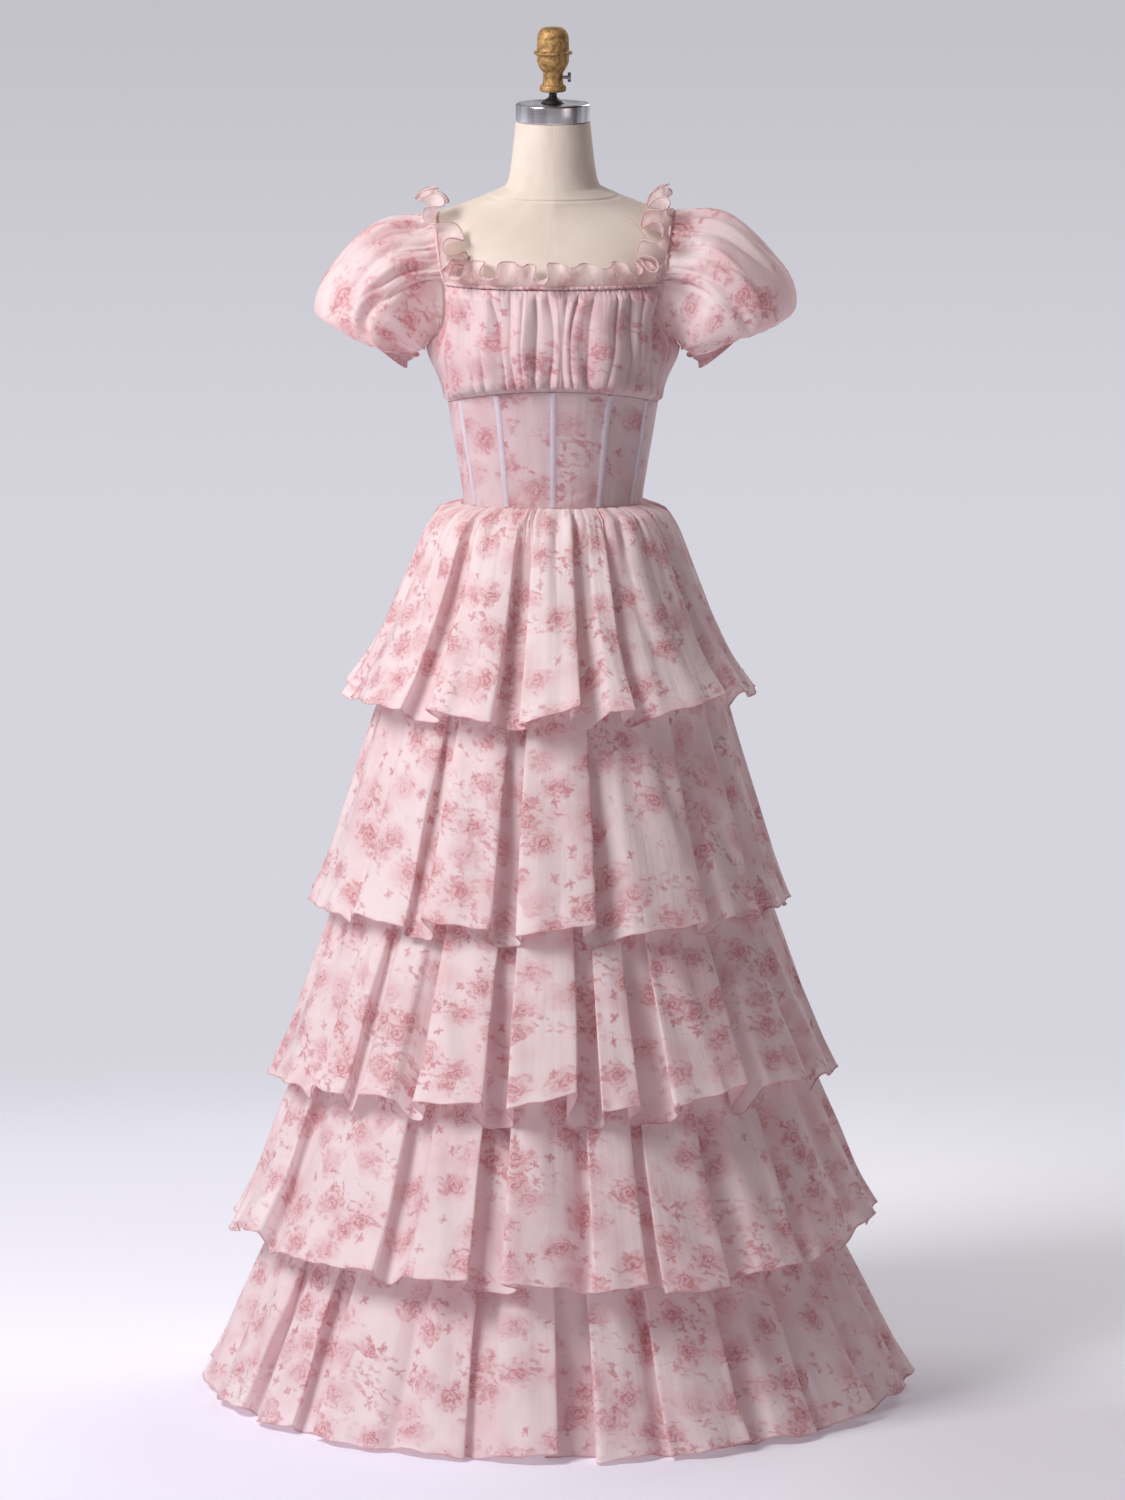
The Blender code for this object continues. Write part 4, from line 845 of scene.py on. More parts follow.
# ---------------------------------------------------------------- the figure
@dataclass(frozen=True)
class Figure:
    """The dress form's shape. Each row is a height, a half width, a front depth, a back depth and a roundness."""

    rows: tuple[tuple[float, ...], ...] = (
        (0.860, 0.1560, 0.1160, 0.1240, 2.2),
        (0.930, 0.1660, 0.1240, 0.1300, 2.2),
        (1.000, 0.1560, 0.1200, 0.1210, 2.2),
        (1.060, 0.1340, 0.1080, 0.1050, 2.1),
        (1.100, 0.1180, 0.0980, 0.0940, 2.1),
        (1.138, 0.1108, 0.0925, 0.0885, 2.1),
        (1.190, 0.1172, 0.0970, 0.0920, 2.1),
        (1.230, 0.1240, 0.1030, 0.0960, 2.1),
        (1.268, 0.1300, 0.1110, 0.0990, 2.1),
        (1.300, 0.1352, 0.1190, 0.1010, 2.1),
        (1.340, 0.1418, 0.1240, 0.1040, 2.1),
        (1.380, 0.1432, 0.1180, 0.1060, 2.1),
        (1.420, 0.1490, 0.1050, 0.1060, 2.2),
        (1.450, 0.1600, 0.0920, 0.1030, 2.35),
        (1.475, 0.1660, 0.0790, 0.0950, 2.2),
        (1.492, 0.1620, 0.0690, 0.0850, 1.95),
        (1.502, 0.1530, 0.0640, 0.0770, 1.8),
        (1.510, 0.1370, 0.0615, 0.0720, 1.7),
        (1.517, 0.1180, 0.0600, 0.0680, 1.65),
        (1.523, 0.1030, 0.0590, 0.0650, 1.65),
        (1.529, 0.0870, 0.0575, 0.0620, 1.75),
        (1.535, 0.0720, 0.0560, 0.0595, 1.9),
        (1.541, 0.0600, 0.0548, 0.0570, 2.0),
        (1.560, 0.0540, 0.0515, 0.0530, 2.0),
        (1.590, 0.0502, 0.0490, 0.0500, 2.0),
        (1.622, 0.0467, 0.0467, 0.0467, 2.0),
    )
    cup: float = 0.009  # how far the cups stand out from the plain section
    cup_angle: float = 33.0
    cup_spread: float = 17.0
    cup_z: float = 1.330
    cup_tall: float = 0.036

    def section(self, z: Array) -> Array:
        """Half width, front depth, back depth and roundness at each height."""
        table = np.asarray(self.rows)
        return curve(table[:, 0], table[:, 1:], z)

    def point(self, angle: Array, z: Array, out: Array | float = 0.0) -> Array:
        """Points on the figure.

        Args:
            angle: degrees round it.
            z: heights.
            out: how far off the figure.

        Returns:
            The points.
        """
        angle, z, out = np.broadcast_arrays(angle, z, out)
        wide, front, back, power = np.moveaxis(self.section(z), -1, 0)
        side = np.abs(np.mod(angle + 180, 360) - 180) - self.cup_angle
        out = out + self.cup * np.exp(-((side / self.cup_spread) ** 2) - ((z - self.cup_z) / self.cup_tall) ** 2)
        sine, cosine = np.sin(np.radians(angle)), np.cos(np.radians(angle))
        deep = np.where(cosine > 0, front, back) + out
        x = (wide + out) * np.sign(sine) * np.abs(sine) ** (2 / power)
        y = -deep * np.sign(cosine) * np.abs(cosine) ** (2 / power)
        return np.stack((x, y, z), -1)

    def share(self, points: Array) -> Array:
        """How far out each point is, where one is on the figure."""
        wide, front, back, power = np.moveaxis(self.section(points[..., 2]), -1, 0)
        deep = np.where(points[..., 1] < 0, front, back)
        return ((np.abs(points[..., 0]) / wide) ** power + (np.abs(points[..., 1]) / deep) ** power) ** (1 / power)

    def off(self, points: Array) -> tuple[Array, Array]:
        """About how far each point is from the figure, and the way straight off it."""
        step = 0.0005
        slope = np.stack(
            [(self.share(points + d) - self.share(points - d)) / (2 * step) for d in step * np.eye(3)], -1
        )
        size = np.linalg.norm(slope, axis=-1)
        return (self.share(points) - 1.0) / size, slope / size[..., None]

    def stand_off(self, points: Array, out: float) -> Array:
        """The points moved straight to or from the figure until they stand this far off it."""
        for _ in range(4):
            distance, away = self.off(points)
            points = points + away * (out - distance)[..., None]
        return points


FIGURE = Figure()


def waist_z(angle: Array) -> Array:
    """The height of the waist seam."""
    return WAIST_Z + WAIST_RISE * np.maximum(np.cos(np.radians(angle)), 0.0)


def underbust_z(angle: Array) -> Array:
    """The height of the seam under the bust, which rises to the centre front."""
    return UNDERBUST_Z + UNDERBUST_RISE * np.maximum(np.cos(np.radians(angle)), 0.0) ** 1.5


def armhole_z(angle: Array) -> Array:
    """The height of the bodice's top edge: level at the front and back, and cut down under the arm."""
    level = NECKLINE_Z - CASING_RADIUS - SEAM_GAP
    from_side = np.abs(np.abs(np.mod(angle + 180, 360) - 180) - 90)
    share = np.minimum(from_side / (90 - CORNER_ANGLE), 1.0)
    return UNDERARM_Z + (level - UNDERARM_Z) * (1 - np.sqrt(np.maximum(1 - share**2, 0.0)))


def clearance(z: Array) -> Array:
    """How far the inside of the corset and the zip stand off the figure, which grows from the waist up."""
    return WAIST_GAP + (WEAR_GAP - WAIST_GAP) * np.clip((z - WAIST_Z) / 0.030, 0.0, 1.0)


def beside_zip(angle: Array, z: Array) -> Array:
    """The angles, kept clear of the zip at the centre back."""
    edge = 180 - np.degrees((ZIP_HALF + SEAM_GAP) / FIGURE.section(z)[..., 0])
    return np.clip(angle, -edge, edge)


def level_point(angle: Array) -> Array:
    """Points of the neck elastic across the chest or the back."""
    return FIGURE.point(angle, np.full(np.shape(angle), NECKLINE_Z), WEAR_GAP + CASING_RADIUS)


def strap_point(side: int, turn: Array) -> Array:
    """Points of the elastic over a shoulder: turn 0 at the front corner, 90 on top and 180 at the back corner."""
    radians = np.radians(turn)
    corner = level_point(np.array(CORNER_ANGLE))
    line = np.stack(
        (
            corner[0] + 0.0140 * np.sin(radians),
            corner[1] * np.cos(radians),
            NECKLINE_Z + (SHOULDER_Z - NECKLINE_Z) * np.sin(radians),
        ),
        -1,
    )
    return FIGURE.stand_off(line, WEAR_GAP + CASING_RADIUS) * np.array((side, 1, 1))


# ---------------------------------------------------------------- the dress form and its stand
@dataclass
class DressForm:
    """The padded torso with its neck cap and finial, and the flange it turns on."""

    finishes: Finishes
    top_z: float = 1.6217
    bottom_z: float = 0.8603
    shoulder_z: float = 1.500  # above it the rows are closer
    mean_radius: float = 0.11  # turns angles into metres beside the seams
    neck_seam_z: float = 1.5365
    cap_radius: float = 0.0468
    rim_z: float = 1.7083  # of the finial's roped rim
    seams: tuple[float, ...] = (0.0, 44.0, 90.0, 136.0, 180.0, -136.0, -90.0, -44.0)

    def torso(self) -> bpy.types.Object:
        """The linen-covered torso, with its piped neck seam and its princess seams."""
        upper = np.linspace(self.top_z, self.shoulder_z, 124)[:-1]
        z = np.concatenate((upper, np.linspace(self.shoulder_z, self.bottom_z, 44)))[:, None]
        angle = np.linspace(0, 360, 360, endpoint=False)[None, :]
        groove = np.zeros(np.broadcast(z, angle).shape)
        for seam in self.seams:
            aside = np.radians(np.mod(angle - seam + 180, 360) - 180) * self.mean_radius
            # The neck is cut in one at the sides, so that only the torso has the side seams.
            held = 0.35 if seam == 0.0 else 0.10 + 0.90 * eased(z, 1.530, self.shoulder_z)
            groove = groove - held * (0.0011 * hump(aside, 0.0, 0.0012) - 0.0005 * hump(aside, 0.0, 0.0035))
        neck = self.neck_seam_z - 0.013 * np.cos(np.radians(angle)) + 0.004 * np.cos(np.radians(2 * angle))
        groove = groove - 0.0020 * hump(z, neck, 0.0012) + 0.0011 * hump(z, neck, 0.004)
        points = FIGURE.point(angle, z, groove)
        ends = [row.mean(axis=0) + (row - row.mean(axis=0)) * 0.02 for row in (points[0], points[-1])]
        points = np.concatenate((ends[0][None], points, ends[1][None]))
        down = np.concatenate(([0.0], z[0, 0] - z[:, 0], [z[0, 0] - z[-1, 0] + 0.1]))
        cloth = on_cloth(np.radians(angle) * 0.13, down[:, None])
        piece = build("torso_cover", [Patch(points, cloth, round_columns=True)], [self.finishes.linen])
        return carry(piece, "form", "linen", "form_torso")

    def cap(self) -> bpy.types.Object:
        """The steel neck cap, with a rolled top edge."""
        profile = [(0.0004, 1.645), (self.cap_radius - 0.004, 1.645)]
        for k in range(7):
            a = math.radians(90 * k / 6)
            profile.append((self.cap_radius - 0.0024 + 0.0024 * math.sin(a), 1.6426 + 0.0024 * math.cos(a)))
        profile += [(self.cap_radius, 1.6245), (self.cap_radius - 0.0006, 1.6222), (self.cap_radius - 0.002, 1.6220)]
        profile += [(0.0004, 1.6220)]
        piece = build("neck_cap_cover", [turned(profile, 128)], [self.finishes.steel])
        return carry(piece, "form", "steel", "neck_cap")

    def finial(self) -> bpy.types.Object:
        """The cast acorn finial, hammered all over, with a roped rim."""
        top = ((0.0004, 1.7410), (0.0060, 1.7407), (0.0140, 1.7388), (0.0186, 1.7330), (0.0203, 1.7240))
        rim = ((0.0210, 1.7112), (0.0238, 1.7098), (0.0243, self.rim_z), (0.0238, 1.7068), (0.0211, 1.7055))
        bowl = ((0.0200, 1.6960), (0.0166, 1.6885), (0.0132, 1.6830), (0.0128, 1.6720), (0.0138, 1.6690))
        foot = ((0.0166, 1.6660), (0.0158, 1.6600), (0.0090, 1.6592), (0.0004, 1.6592))
        profile = rounded((*top, *rim, *bowl, *foot), 0.0007)
        turns = np.linspace(0, 2 * math.pi, 144, endpoint=False)[None, :]
        radius, height = profile[:, :1], profile[:, 1:]
        rim = hump(height, self.rim_z, 0.0016)
        dents = 0.00035 * rim * np.sin(30 * turns + 900 * (height - self.rim_z))
        rng = np.random.default_rng(3)
        for level in np.arange(1.664, 1.740, 0.0056):
            around = max(int(2 * math.pi * float(np.interp(level, profile[::-1, 1], profile[::-1, 0])) / 0.0068), 4)
            for k in range(around):
                at = 2 * math.pi * (k + rng.uniform(0.2, 0.8)) / around
                aside = (np.mod(turns - at + math.pi, 2 * math.pi) - math.pi) * np.maximum(radius, 0.004)
                rise = height - level - rng.uniform(-0.0012, 0.0012)
                size = rng.uniform(0.0023, 0.0033)
                dents = dents - 0.00042 * np.exp(-(aside**2 + rise**2) / size**2) * (1 - 0.8 * rim)
        dents = dents * eased(radius, 0.001, 0.006)
        piece = build("finial_casting", [turned(profile, 144, dents)], [self.finishes.brass])
        return carry(piece, "form", "brass", "finial")

    def dress(self) -> None:
        """Makes the form's own pieces and finishes those whose solid is already right."""
        self.torso()
        self.cap()
        self.finial()
        paint_nodes(self.finishes.black, "finial_boss", "form_flange")
        paint_nodes(self.finishes.steel, "thumb_screw")


def paint_nodes(finish: bpy.types.Material, *names: str) -> None:
    """Gives solids that show as they are a better material."""
    for name in names:
        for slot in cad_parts[name].material_slots:
            slot.material = finish


@dataclass
class Stand:
    """The round base with its column and pole, hidden by the skirt and finished plainly."""

    finishes: Finishes

    def dress(self) -> None:
        """Finishes the stand."""
        paint_nodes(self.finishes.black, "stand_base", "stand_column")
        paint_nodes(self.finishes.steel, "stand_collar", "stand_pole")


# ---------------------------------------------------------------- the bodice
@dataclass
class Corset:
    """The close-fitting waist: eight panels, and five ribbon casings over its front seams."""

    finishes: Finishes
    seams: tuple[float, ...] = (0.0, 30.0, 60.0, 90.0, 180.0)
    names: tuple[str, ...] = ("corset_centre", "corset_side_front", "corset_side", "corset_back")
    bones: tuple[tuple[str, float], ...] = (
        ("bone_side_right", -60.0),
        ("bone_front_right", -30.0),
        ("bone_centre", 0.0),
        ("bone_front_left", 30.0),
        ("bone_side_left", 60.0),
    )
    bone_width: float = 0.0078
    degree: float = 0.0021  # a degree round the waist, in metres
    # Soft drag lines, as (angle, height) to (angle, height), width and depth, with degrees taken as 2 mm.
    drags: tuple[tuple[float, ...], ...] = (
        (-52, 1.205, -35, 1.190, 0.006, 0.0009),
        (-24, 1.160, -6, 1.172, 0.005, -0.0008),
        (8, 1.152, 27, 1.163, 0.005, 0.0008),
        (34, 1.184, 56, 1.175, 0.006, -0.0009),
        (-80, 1.172, -62, 1.160, 0.007, 0.0010),
        (66, 1.200, 86, 1.185, 0.007, 0.0010),
        (100, 1.170, 150, 1.162, 0.008, 0.0012),
        (-150, 1.190, -104, 1.178, 0.008, 0.0012),
        (110, 1.215, 160, 1.222, 0.007, -0.0009),
        (-164, 1.158, -120, 1.150, 0.007, -0.0010),
    )

    def panel(self, name: str, first: float, last: float, origin: tuple[float, float]) -> bpy.types.Object:
        """One panel between two seams.

        Args:
            name: the panel's name.
            first: the angle of its left seam.
            last: the angle of its right seam.
            origin: where it was cut from the printed cloth.

        Returns:
            The panel.
        """
        columns = int((last - first) * 1.2) + 10
        share = np.linspace(0, 1, columns)[None, :]
        down = rows_down(56)
        angle = first + (last - first) * share
        top, low = underbust_z(angle) - 2 * SEAM_GAP, waist_z(angle)
        z = top + (low - top) * down
        angle = beside_zip(np.broadcast_to(angle, z.shape), z)
        across = angle * self.degree
        ends = ((a * self.degree, -z0, b * self.degree, -z1, wide, deep) for a, z0, b, z1, wide, deep in self.drags)
        creases = [Crease(*row, start=0.5) for row in ends]
        aside = np.minimum(share, 1 - share) * (last - first) * self.degree
        seam = -0.0007 * hump(aside, 0.0, 0.0009) + 0.0004 * hump(aside, 0.003, 0.0022)
        near_waist = np.exp(-((z - low) / 0.016)) * 0.0010 * gathers(across, 0.013, 360 * self.degree, 41)
        out = clearance(z) + CLOTH + pressed(creases, across, -z) + seam + near_waist * (1 - down**6)
        cloth = on_cloth(origin[0] + across, origin[1] + (top - z))
        return build(name, [Patch(FIGURE.point(angle, z, out), cloth)], [self.finishes.bodice])

    def panels(self) -> None:
        """The eight panels."""
        for k, (name, first, last) in enumerate(zip(self.names, self.seams, self.seams[1:])):
            for side, low, high in (("left", first, last), ("right", -last, -first)):
                full = f"{name}_{side}"
                shift = (0.31 * k + (0.17 if side == "left" else 0.0), 0.13 * k)
                piece = self.panel(f"{full}_panel", low, high, shift)
                carry(piece, "form", "organza", full)

    def casings(self) -> None:
        """The ribbon casings, each with a row of stitches down either edge."""
        runs = []
        for name, middle in self.bones:
            share = np.linspace(-1, 1, 13)[None, :]
            down = rows_down(60)
            top, low = float(underbust_z(middle)) - 0.0015, float(waist_z(middle)) + 0.0015
            z = top + (low - top) * down
            half = np.degrees(self.bone_width / 2 / FIGURE.section(z)[..., 0])
            for _ in range(4):  # until it is as wide as it should be on the curved figure
                across = FIGURE.point(middle + half, z) - FIGURE.point(middle - half, z)
                half = half * self.bone_width / np.linalg.norm(across, axis=-1)
            angle = middle + half * share
            crown = 0.0007 * (1 - share**4) + 0.0003 * hump(share, 0.0, 0.35)
            pucker = 0.00012 * np.sin(2 * math.pi * (top - z) / 0.0065 + 3 * share)
            base = clearance(z) + CLOTH + SEAM_GAP
            points = FIGURE.point(angle, z, base + crown + pucker)
            cloth = on_cloth(share * self.bone_width / 2, top - z)
            piece = build(f"{name}_casing", [Patch(points, cloth)], [self.finishes.ribbon])
            carry(piece, "form", "boning", name)
            for edge in (1, -2):
                runs.append(points[:, edge] + 0.0002 * unit(points[:, edge] * np.array((1, 1, 0))))
        stitches = Run(Bit.STITCH, 0.0030, (0.0005, 0.0005, 0.0021))
        carry(stitches.make("casing_stitches", runs, self.finishes.thread), "form", "boning")

    def dress(self) -> None:
        """Makes the corset."""
        self.panels()
        self.casings()


@dataclass
class Bust:
    """The gathered front between the neck elastic and the seam under the bust, and its two plainer backs."""

    finishes: Finishes
    puff: float = 0.0084
    notch: float = 0.0074  # how deep the deepest crease is
    degree: float = 0.0024  # a degree round the bust, in metres
    # The creases of the front: the angle where each leaves the elastic and where it meets the seam, and how deep it
    # is at either end.
    creases: tuple[tuple[float, float, float, float], ...] = (
        (-84, -82, 0.4, 0.6),
        (-70, -66, 0.2, 0.5),
        (-56, -50, 0.4, 0.6),
        (-47, -41, 0.3, 0.8),
        (-39, -34, 0.6, 1.0),
        (-28, -22, 0.9, 0.5),
        (-18, -17, 1.0, 0.9),
        (-11.5, -12, 0.6, 0.2),
        (-6.5, -8, 1.0, 0.9),
        (-2, -2, 0.9, 1.1),
        (1.5, 2, 0.3, 0.4),
        (6, 5, 0.8, 1.0),
        (11, 9.5, 1.1, 0.6),
        (18, 16, 0.4, 1.0),
        (29, 24, 0.7, 0.3),
        (37, 35, 0.8, 1.0),
        (46, 43, 0.5, 0.8),
        (59, 56, 0.9, 0.6),
        (70, 68, 0.3, 0.6),
        (83, 82, 0.5, 0.5),
    )
    # The same on the left back; the right back has them mirrored.
    back_creases: tuple[tuple[float, float, float, float], ...] = (
        (97, 99, 0.5, 0.3),
        (108, 107, 0.3, 0.6),
        (116, 118, 0.7, 0.3),
        (125, 124, 0.3, 0.7),
        (133, 135, 0.6, 0.4),
        (142, 141, 0.4, 0.3),
        (150, 152, 0.7, 0.6),
        (159, 158, 0.3, 0.5),
        (167, 168, 0.6, 0.3),
        (174, 175, 0.3, 0.4),
    )

    def panel(
        self, name: str, span: tuple[float, float], lines: Sequence[tuple], lift: float, origin: tuple[float, float]
    ) -> bpy.types.Object:
        """A gathered panel.

        Args:
            name: the panel's name.
            span: the angles of its left and right seams.
            lines: its creases.
            lift: how strong its puff and creases are.
            origin: where it was cut from the printed cloth.

        Returns:
            The panel.
        """
        angle = np.linspace(*span, int((span[1] - span[0]) * 3.1) + 1)[None, :]
        down = rows_down(72)
        top, low = armhole_z(angle), underbust_z(angle)
        z = top + (low - top) * down
        angle = beside_zip(np.broadcast_to(angle, z.shape), z)
        metres, period = angle * self.degree, 360 * self.degree
        creased = np.zeros(z.shape)
        bow = np.sin(np.pi * down)
        for k, (high, foot, first, last) in enumerate(lines):
            middle = high + (foot - high) * eased(down, 0.0, 1.0) + 2.6 * math.sin(5.1 * k) * bow
            aside = np.abs(metres - middle * self.degree) / ((0.0009 + 0.0017 * last) * (1 + 1.3 * bow))
            deep = first * np.exp(-down / 0.40) + last * np.exp(-(1 - down) / 0.42)
            creased = np.maximum(creased, 0.55 * creased + deep * np.exp(-(aside**1.1)))
        wave = 0.0033 * ripple(metres + 0.012 * bow, 0.048, period, 18) * (0.4 + 0.6 * bow)
        fine_top = gathers(metres, 0.0072, period, 21) * np.exp(-down / 0.075)
        fine_low = gathers(metres, 0.0090, period, 25) * np.exp(-(1 - down) / 0.085)
        swell = eased(down, 0.0, 0.09) * (1 - eased(down, 0.945, 1.0))
        front = 1 - eased(np.abs(angle), 52, 74)
        side = eased(np.abs(angle), 48, 80) * 0.0125 * hump(z, 1.335, 0.036)
        hang = 0.0042 * hump(down, 0.90, 0.085) * (0.15 + 0.85 * front)
        relief = (self.puff + wave) * (0.35 + 0.65 * front) - self.notch * np.minimum(creased, 1.1)
        out = WEAR_GAP + CLOTH + lift * relief * swell + hang + side * swell
        out = out + 0.0022 * fine_top * (1 - down**0.5) + 0.0018 * fine_low * (1 - eased(down, 0.97, 1.0))
        points = FIGURE.point(angle, z, np.maximum(out, WEAR_GAP))
        cloth = on_cloth(origin[0] + metres * 1.25, origin[1] + (top - z) * 1.05)
        return build(name, [Patch(points, cloth)], [self.finishes.bodice])

    def dress(self) -> None:
        """Makes the front and the two backs."""
        front = self.panel("bust_front_gathered", (-90, 90), self.creases, 1.0, (0.25, 0.62))
        carry(front, "form", "organza", "bust_front")
        left = self.panel("bust_back_left_panel", (90, 180), self.back_creases, 0.6, (0.71, 0.60))
        carry(left, "form", "organza", "bust_back_left")
        other = [(-a, -b, c, d) for a, b, c, d in reversed(self.back_creases)]
        right = self.panel("bust_back_right_panel", (-180, -90), other, 0.6, (1.93, 0.64))
        carry(right, "form", "organza", "bust_back_right")


# ---------------------------------------------------------------- the neckline
@dataclass(frozen=True)
class Curl:
    """A loop of the frill: where it is along the neckline, how far it rolls over, and how far it doubles back."""

    at: float
    roll: float  # in radians; at the front, a loop below nought rolls forwards
    along: float


@dataclass
class Neckline:
    """The gathered elastic round the neck and over the shoulders, and the frill that stands on it."""

    finishes: Finishes
    frill_height: float = 0.030
    strap_height: float = 0.043
    back_corner: float = 0.395  # of the neckline, in metres along it from the centre front
    step: float = 0.0016
    # Loops of the front frill, in metres from the centre front.
    front_curls: tuple[Curl, ...] = (
        Curl(-0.134, 0.5, 0.0030),
        Curl(-0.117, -2.1, 0.0052),
        Curl(-0.098, 0.6, 0.0046),
        Curl(-0.077, -1.9, 0.0050),
        Curl(-0.058, 0.5, 0.0030),
        Curl(-0.037, -0.3, 0.0004),
        Curl(-0.029, 0.5, 0.0030),
        Curl(-0.015, -2.2, 0.0052),
        Curl(0.002, 0.6, 0.0036),
        Curl(0.024, -0.5, 0.0006),
        Curl(0.044, 0.3, 0.0004),
        Curl(0.066, -0.7, 0.0010),
        Curl(0.084, 0.5, 0.0020),
        Curl(0.101, -1.5, 0.0044),
        Curl(0.117, 0.6, 0.0036),
        Curl(0.133, -1.2, 0.0040),
    )

    def path(self) -> tuple[Array, Array, Array]:
        """The elastic's line, from one edge of the zip over the right shoulder and round to the other.

        Returns:
            For each point: the point, the frill's height, and the frill's lean.
        """
        edge = 180 - math.degrees((ZIP_HALF + SEAM_GAP) / float(FIGURE.section(np.array(NECKLINE_Z))[0]))
        lean = math.radians(14)
        forward = np.array((0.0, -math.sin(lean), math.cos(lean)))
        rearward = forward * np.array((1, -1, 1))
        points, heights, leans = [], [], []

        def level(angles: Array, way: Array) -> None:
            """Goes on across the chest or the back."""
            points.append(level_point(angles))
            heights.append(np.full(len(angles), self.frill_height))
            leans.append(np.broadcast_to(way, (len(angles), 3)))

        def strap(side: int, turns: Array) -> None:
            """Goes on over a shoulder."""
            radians = np.radians(turns)
            points.append(strap_point(side, turns))
            top = np.sin(radians) ** 2
            # Over the right shoulder it lies back towards the sleeve; over the left it stands.
            back, rise, low = (0.95, 0.30, 0.32) if side < 0 else (0.15, 0.45, 0.24)
            heights.append(self.strap_height * (1 - low * top))
            way = np.stack((-side * (0.60 - back * top), -0.70 * np.cos(radians), 0.30 + rise * top), -1)
            leans.append(unit(way))

        level(-np.linspace(edge, 180 - CORNER_ANGLE, 40)[:-1], rearward)
        strap(-1, np.linspace(180, 0, 90))
        level(np.linspace(-CORNER_ANGLE, CORNER_ANGLE, 120)[1:-1], forward)
        strap(1, np.linspace(0, 180, 90))
        level(np.linspace(180 - CORNER_ANGLE, edge, 40)[1:], rearward)
        line = np.concatenate(points)
        along = length_along(line)
        at = np.linspace(0, along[-1], int(along[-1] / self.step) + 1)

        def even(values: Array, soften: float) -> Array:
            """Values read at even steps and blurred over a distance."""
            table = np.asarray(values, float).reshape(len(line), -1)
            read = np.stack([np.interp(at, along, column) for column in table.T], -1)
            reach = max(int(soften / self.step), 1)
            kernel = np.hanning(2 * reach + 3)[1:-1]
            kernel /= kernel.sum()
            padded = np.concatenate((np.repeat(read[:1], reach, 0), read, np.repeat(read[-1:], reach, 0)))
            return np.stack([np.convolve(column, kernel, "valid") for column in padded.T], -1)

        height = even(np.concatenate(heights), 0.016)[:, 0]
        return even(line, 0.004), height, unit(even(np.concatenate(leans), 0.026))

    def casing(self, line: Array, away: Array, up: Array) -> None:
        """The casing, ruched tightly over its elastic."""
        s = length_along(line)
        fine = np.linspace(0, s[-1], 2 * len(s))
        line, away, up = (np.stack([np.interp(fine, s, c) for c in v.T], -1) for v in (line, away, up))
        total = float(fine[-1])
        turns = np.radians(np.linspace(200, 520, 13))[:, None]  # open where it lies against the body
        lean = 0.0018 * np.cos(turns + 1.3 * ripple(fine, 0.013, total, 62))
        bumps = gathers(fine + lean, 0.0044, total, 61)
        radius = CASING_RADIUS * (0.56 + 0.42 * bumps + 0.14 * ripple(fine, 0.009, total, 63))
        points = line + radius[..., None] * (np.cos(turns)[..., None] * away + np.sin(turns)[..., None] * -up)
        cloth = on_cloth(0.3 + fine[None, :] * 1.6, 1.4 + turns * CASING_RADIUS)
        piece = build("neck_casing_ruched", [Patch(points, cloth)], [self.finishes.gathered])
        carry(piece, "form", "organza", "neck_casing")

    def curls(self, middle: float) -> list[Curl]:
        """Every loop of the frill in order: those placed at the front, and big ones on the straps and the back."""
        made = list(self.front_curls)
        rng = np.random.default_rng(5)
        for side in (-1, 1):
            last = self.front_curls[0 if side < 0 else -1]
            at, way = abs(last.at) + 0.015, -math.copysign(1.0, last.roll)
            while at < middle - 0.006:
                strap = at < self.back_corner
                step = rng.uniform(0.0140, 0.0190) if strap else rng.uniform(0.017, 0.023)
                roll = rng.uniform(0.90, 1.35) if strap else rng.uniform(0.5, 0.9)
                made.append(Curl(side * at, way * roll, rng.uniform(0.0050, 0.0068) if strap else 0.0026))
                at, way = at + step, -way
        return sorted(made, key=lambda curl: curl.at)

    def frill(self, line: Array, heights: Array, leans: Array, away: Array, up: Array) -> None:
        """The frill, from its gathered foot to its rolled top edge."""
        s = length_along(line)
        total = float(s[-1])
        tangent = unit(np.gradient(line, axis=0))
        off = unit(np.cross(leans, tangent))
        q = rows_down(17)
        loops = self.curls(total / 2)
        at = np.array([curl.at for curl in loops]) + total / 2
        roll = curve(at, [curl.roll for curl in loops], s)
        phase = 2 * math.pi * np.interp(s, at, np.arange(len(at)))
        slide = curve(at, [curl.along for curl in loops], s) * np.sin(phase)
        ends = eased(s, 0.0, 0.012) * eased(s, total, total - 0.012)
        roll, slide = roll * ends, slide * ends
        roll = np.where(np.abs(roll) < 1e-3, 1e-3, roll)
        tall = heights * (1 + 0.06 * ripple(s, 0.045, total, 71))
        ruche = 0.0010 * gathers(s, 0.0056, total, 73) * np.exp(-q / 0.14)
        foot = line + up * (CASING_RADIUS * 0.60) + away * 0.0004
        points = (
            foot
            + leans * (tall * np.sin(roll * q) / roll)[..., None]
            + off * (tall * (1 - np.cos(roll * q)) / roll + ruche)[..., None]
            + tangent * (slide * q)[..., None]
        )
        for _ in range(3):  # clear of the neck and chest
            depth, outward = FIGURE.off(points)
            points = points + outward * np.maximum(0.0016 * np.minimum(q * 6, 1.0) - depth, 0.0)[..., None]
        cloth = on_cloth(0.9 + s * 1.9, 1.1 + (1 - q) * heights)
        # Rows run up from the foot, so they are turned over to run down.
        sheet = Patch(points[::-1], cloth[::-1])
        rim = bead(points[-1], HEM_ROLL, False, 1, cloth[-1])
        piece = build("neck_frill", [sheet, rim], [self.finishes.ruffle, self.finishes.rim])
        nodes = ("frill_back_right", "frill_right", "frill_front", "frill_left", "frill_back_left")
        carry(piece, "form", "organza", *nodes)

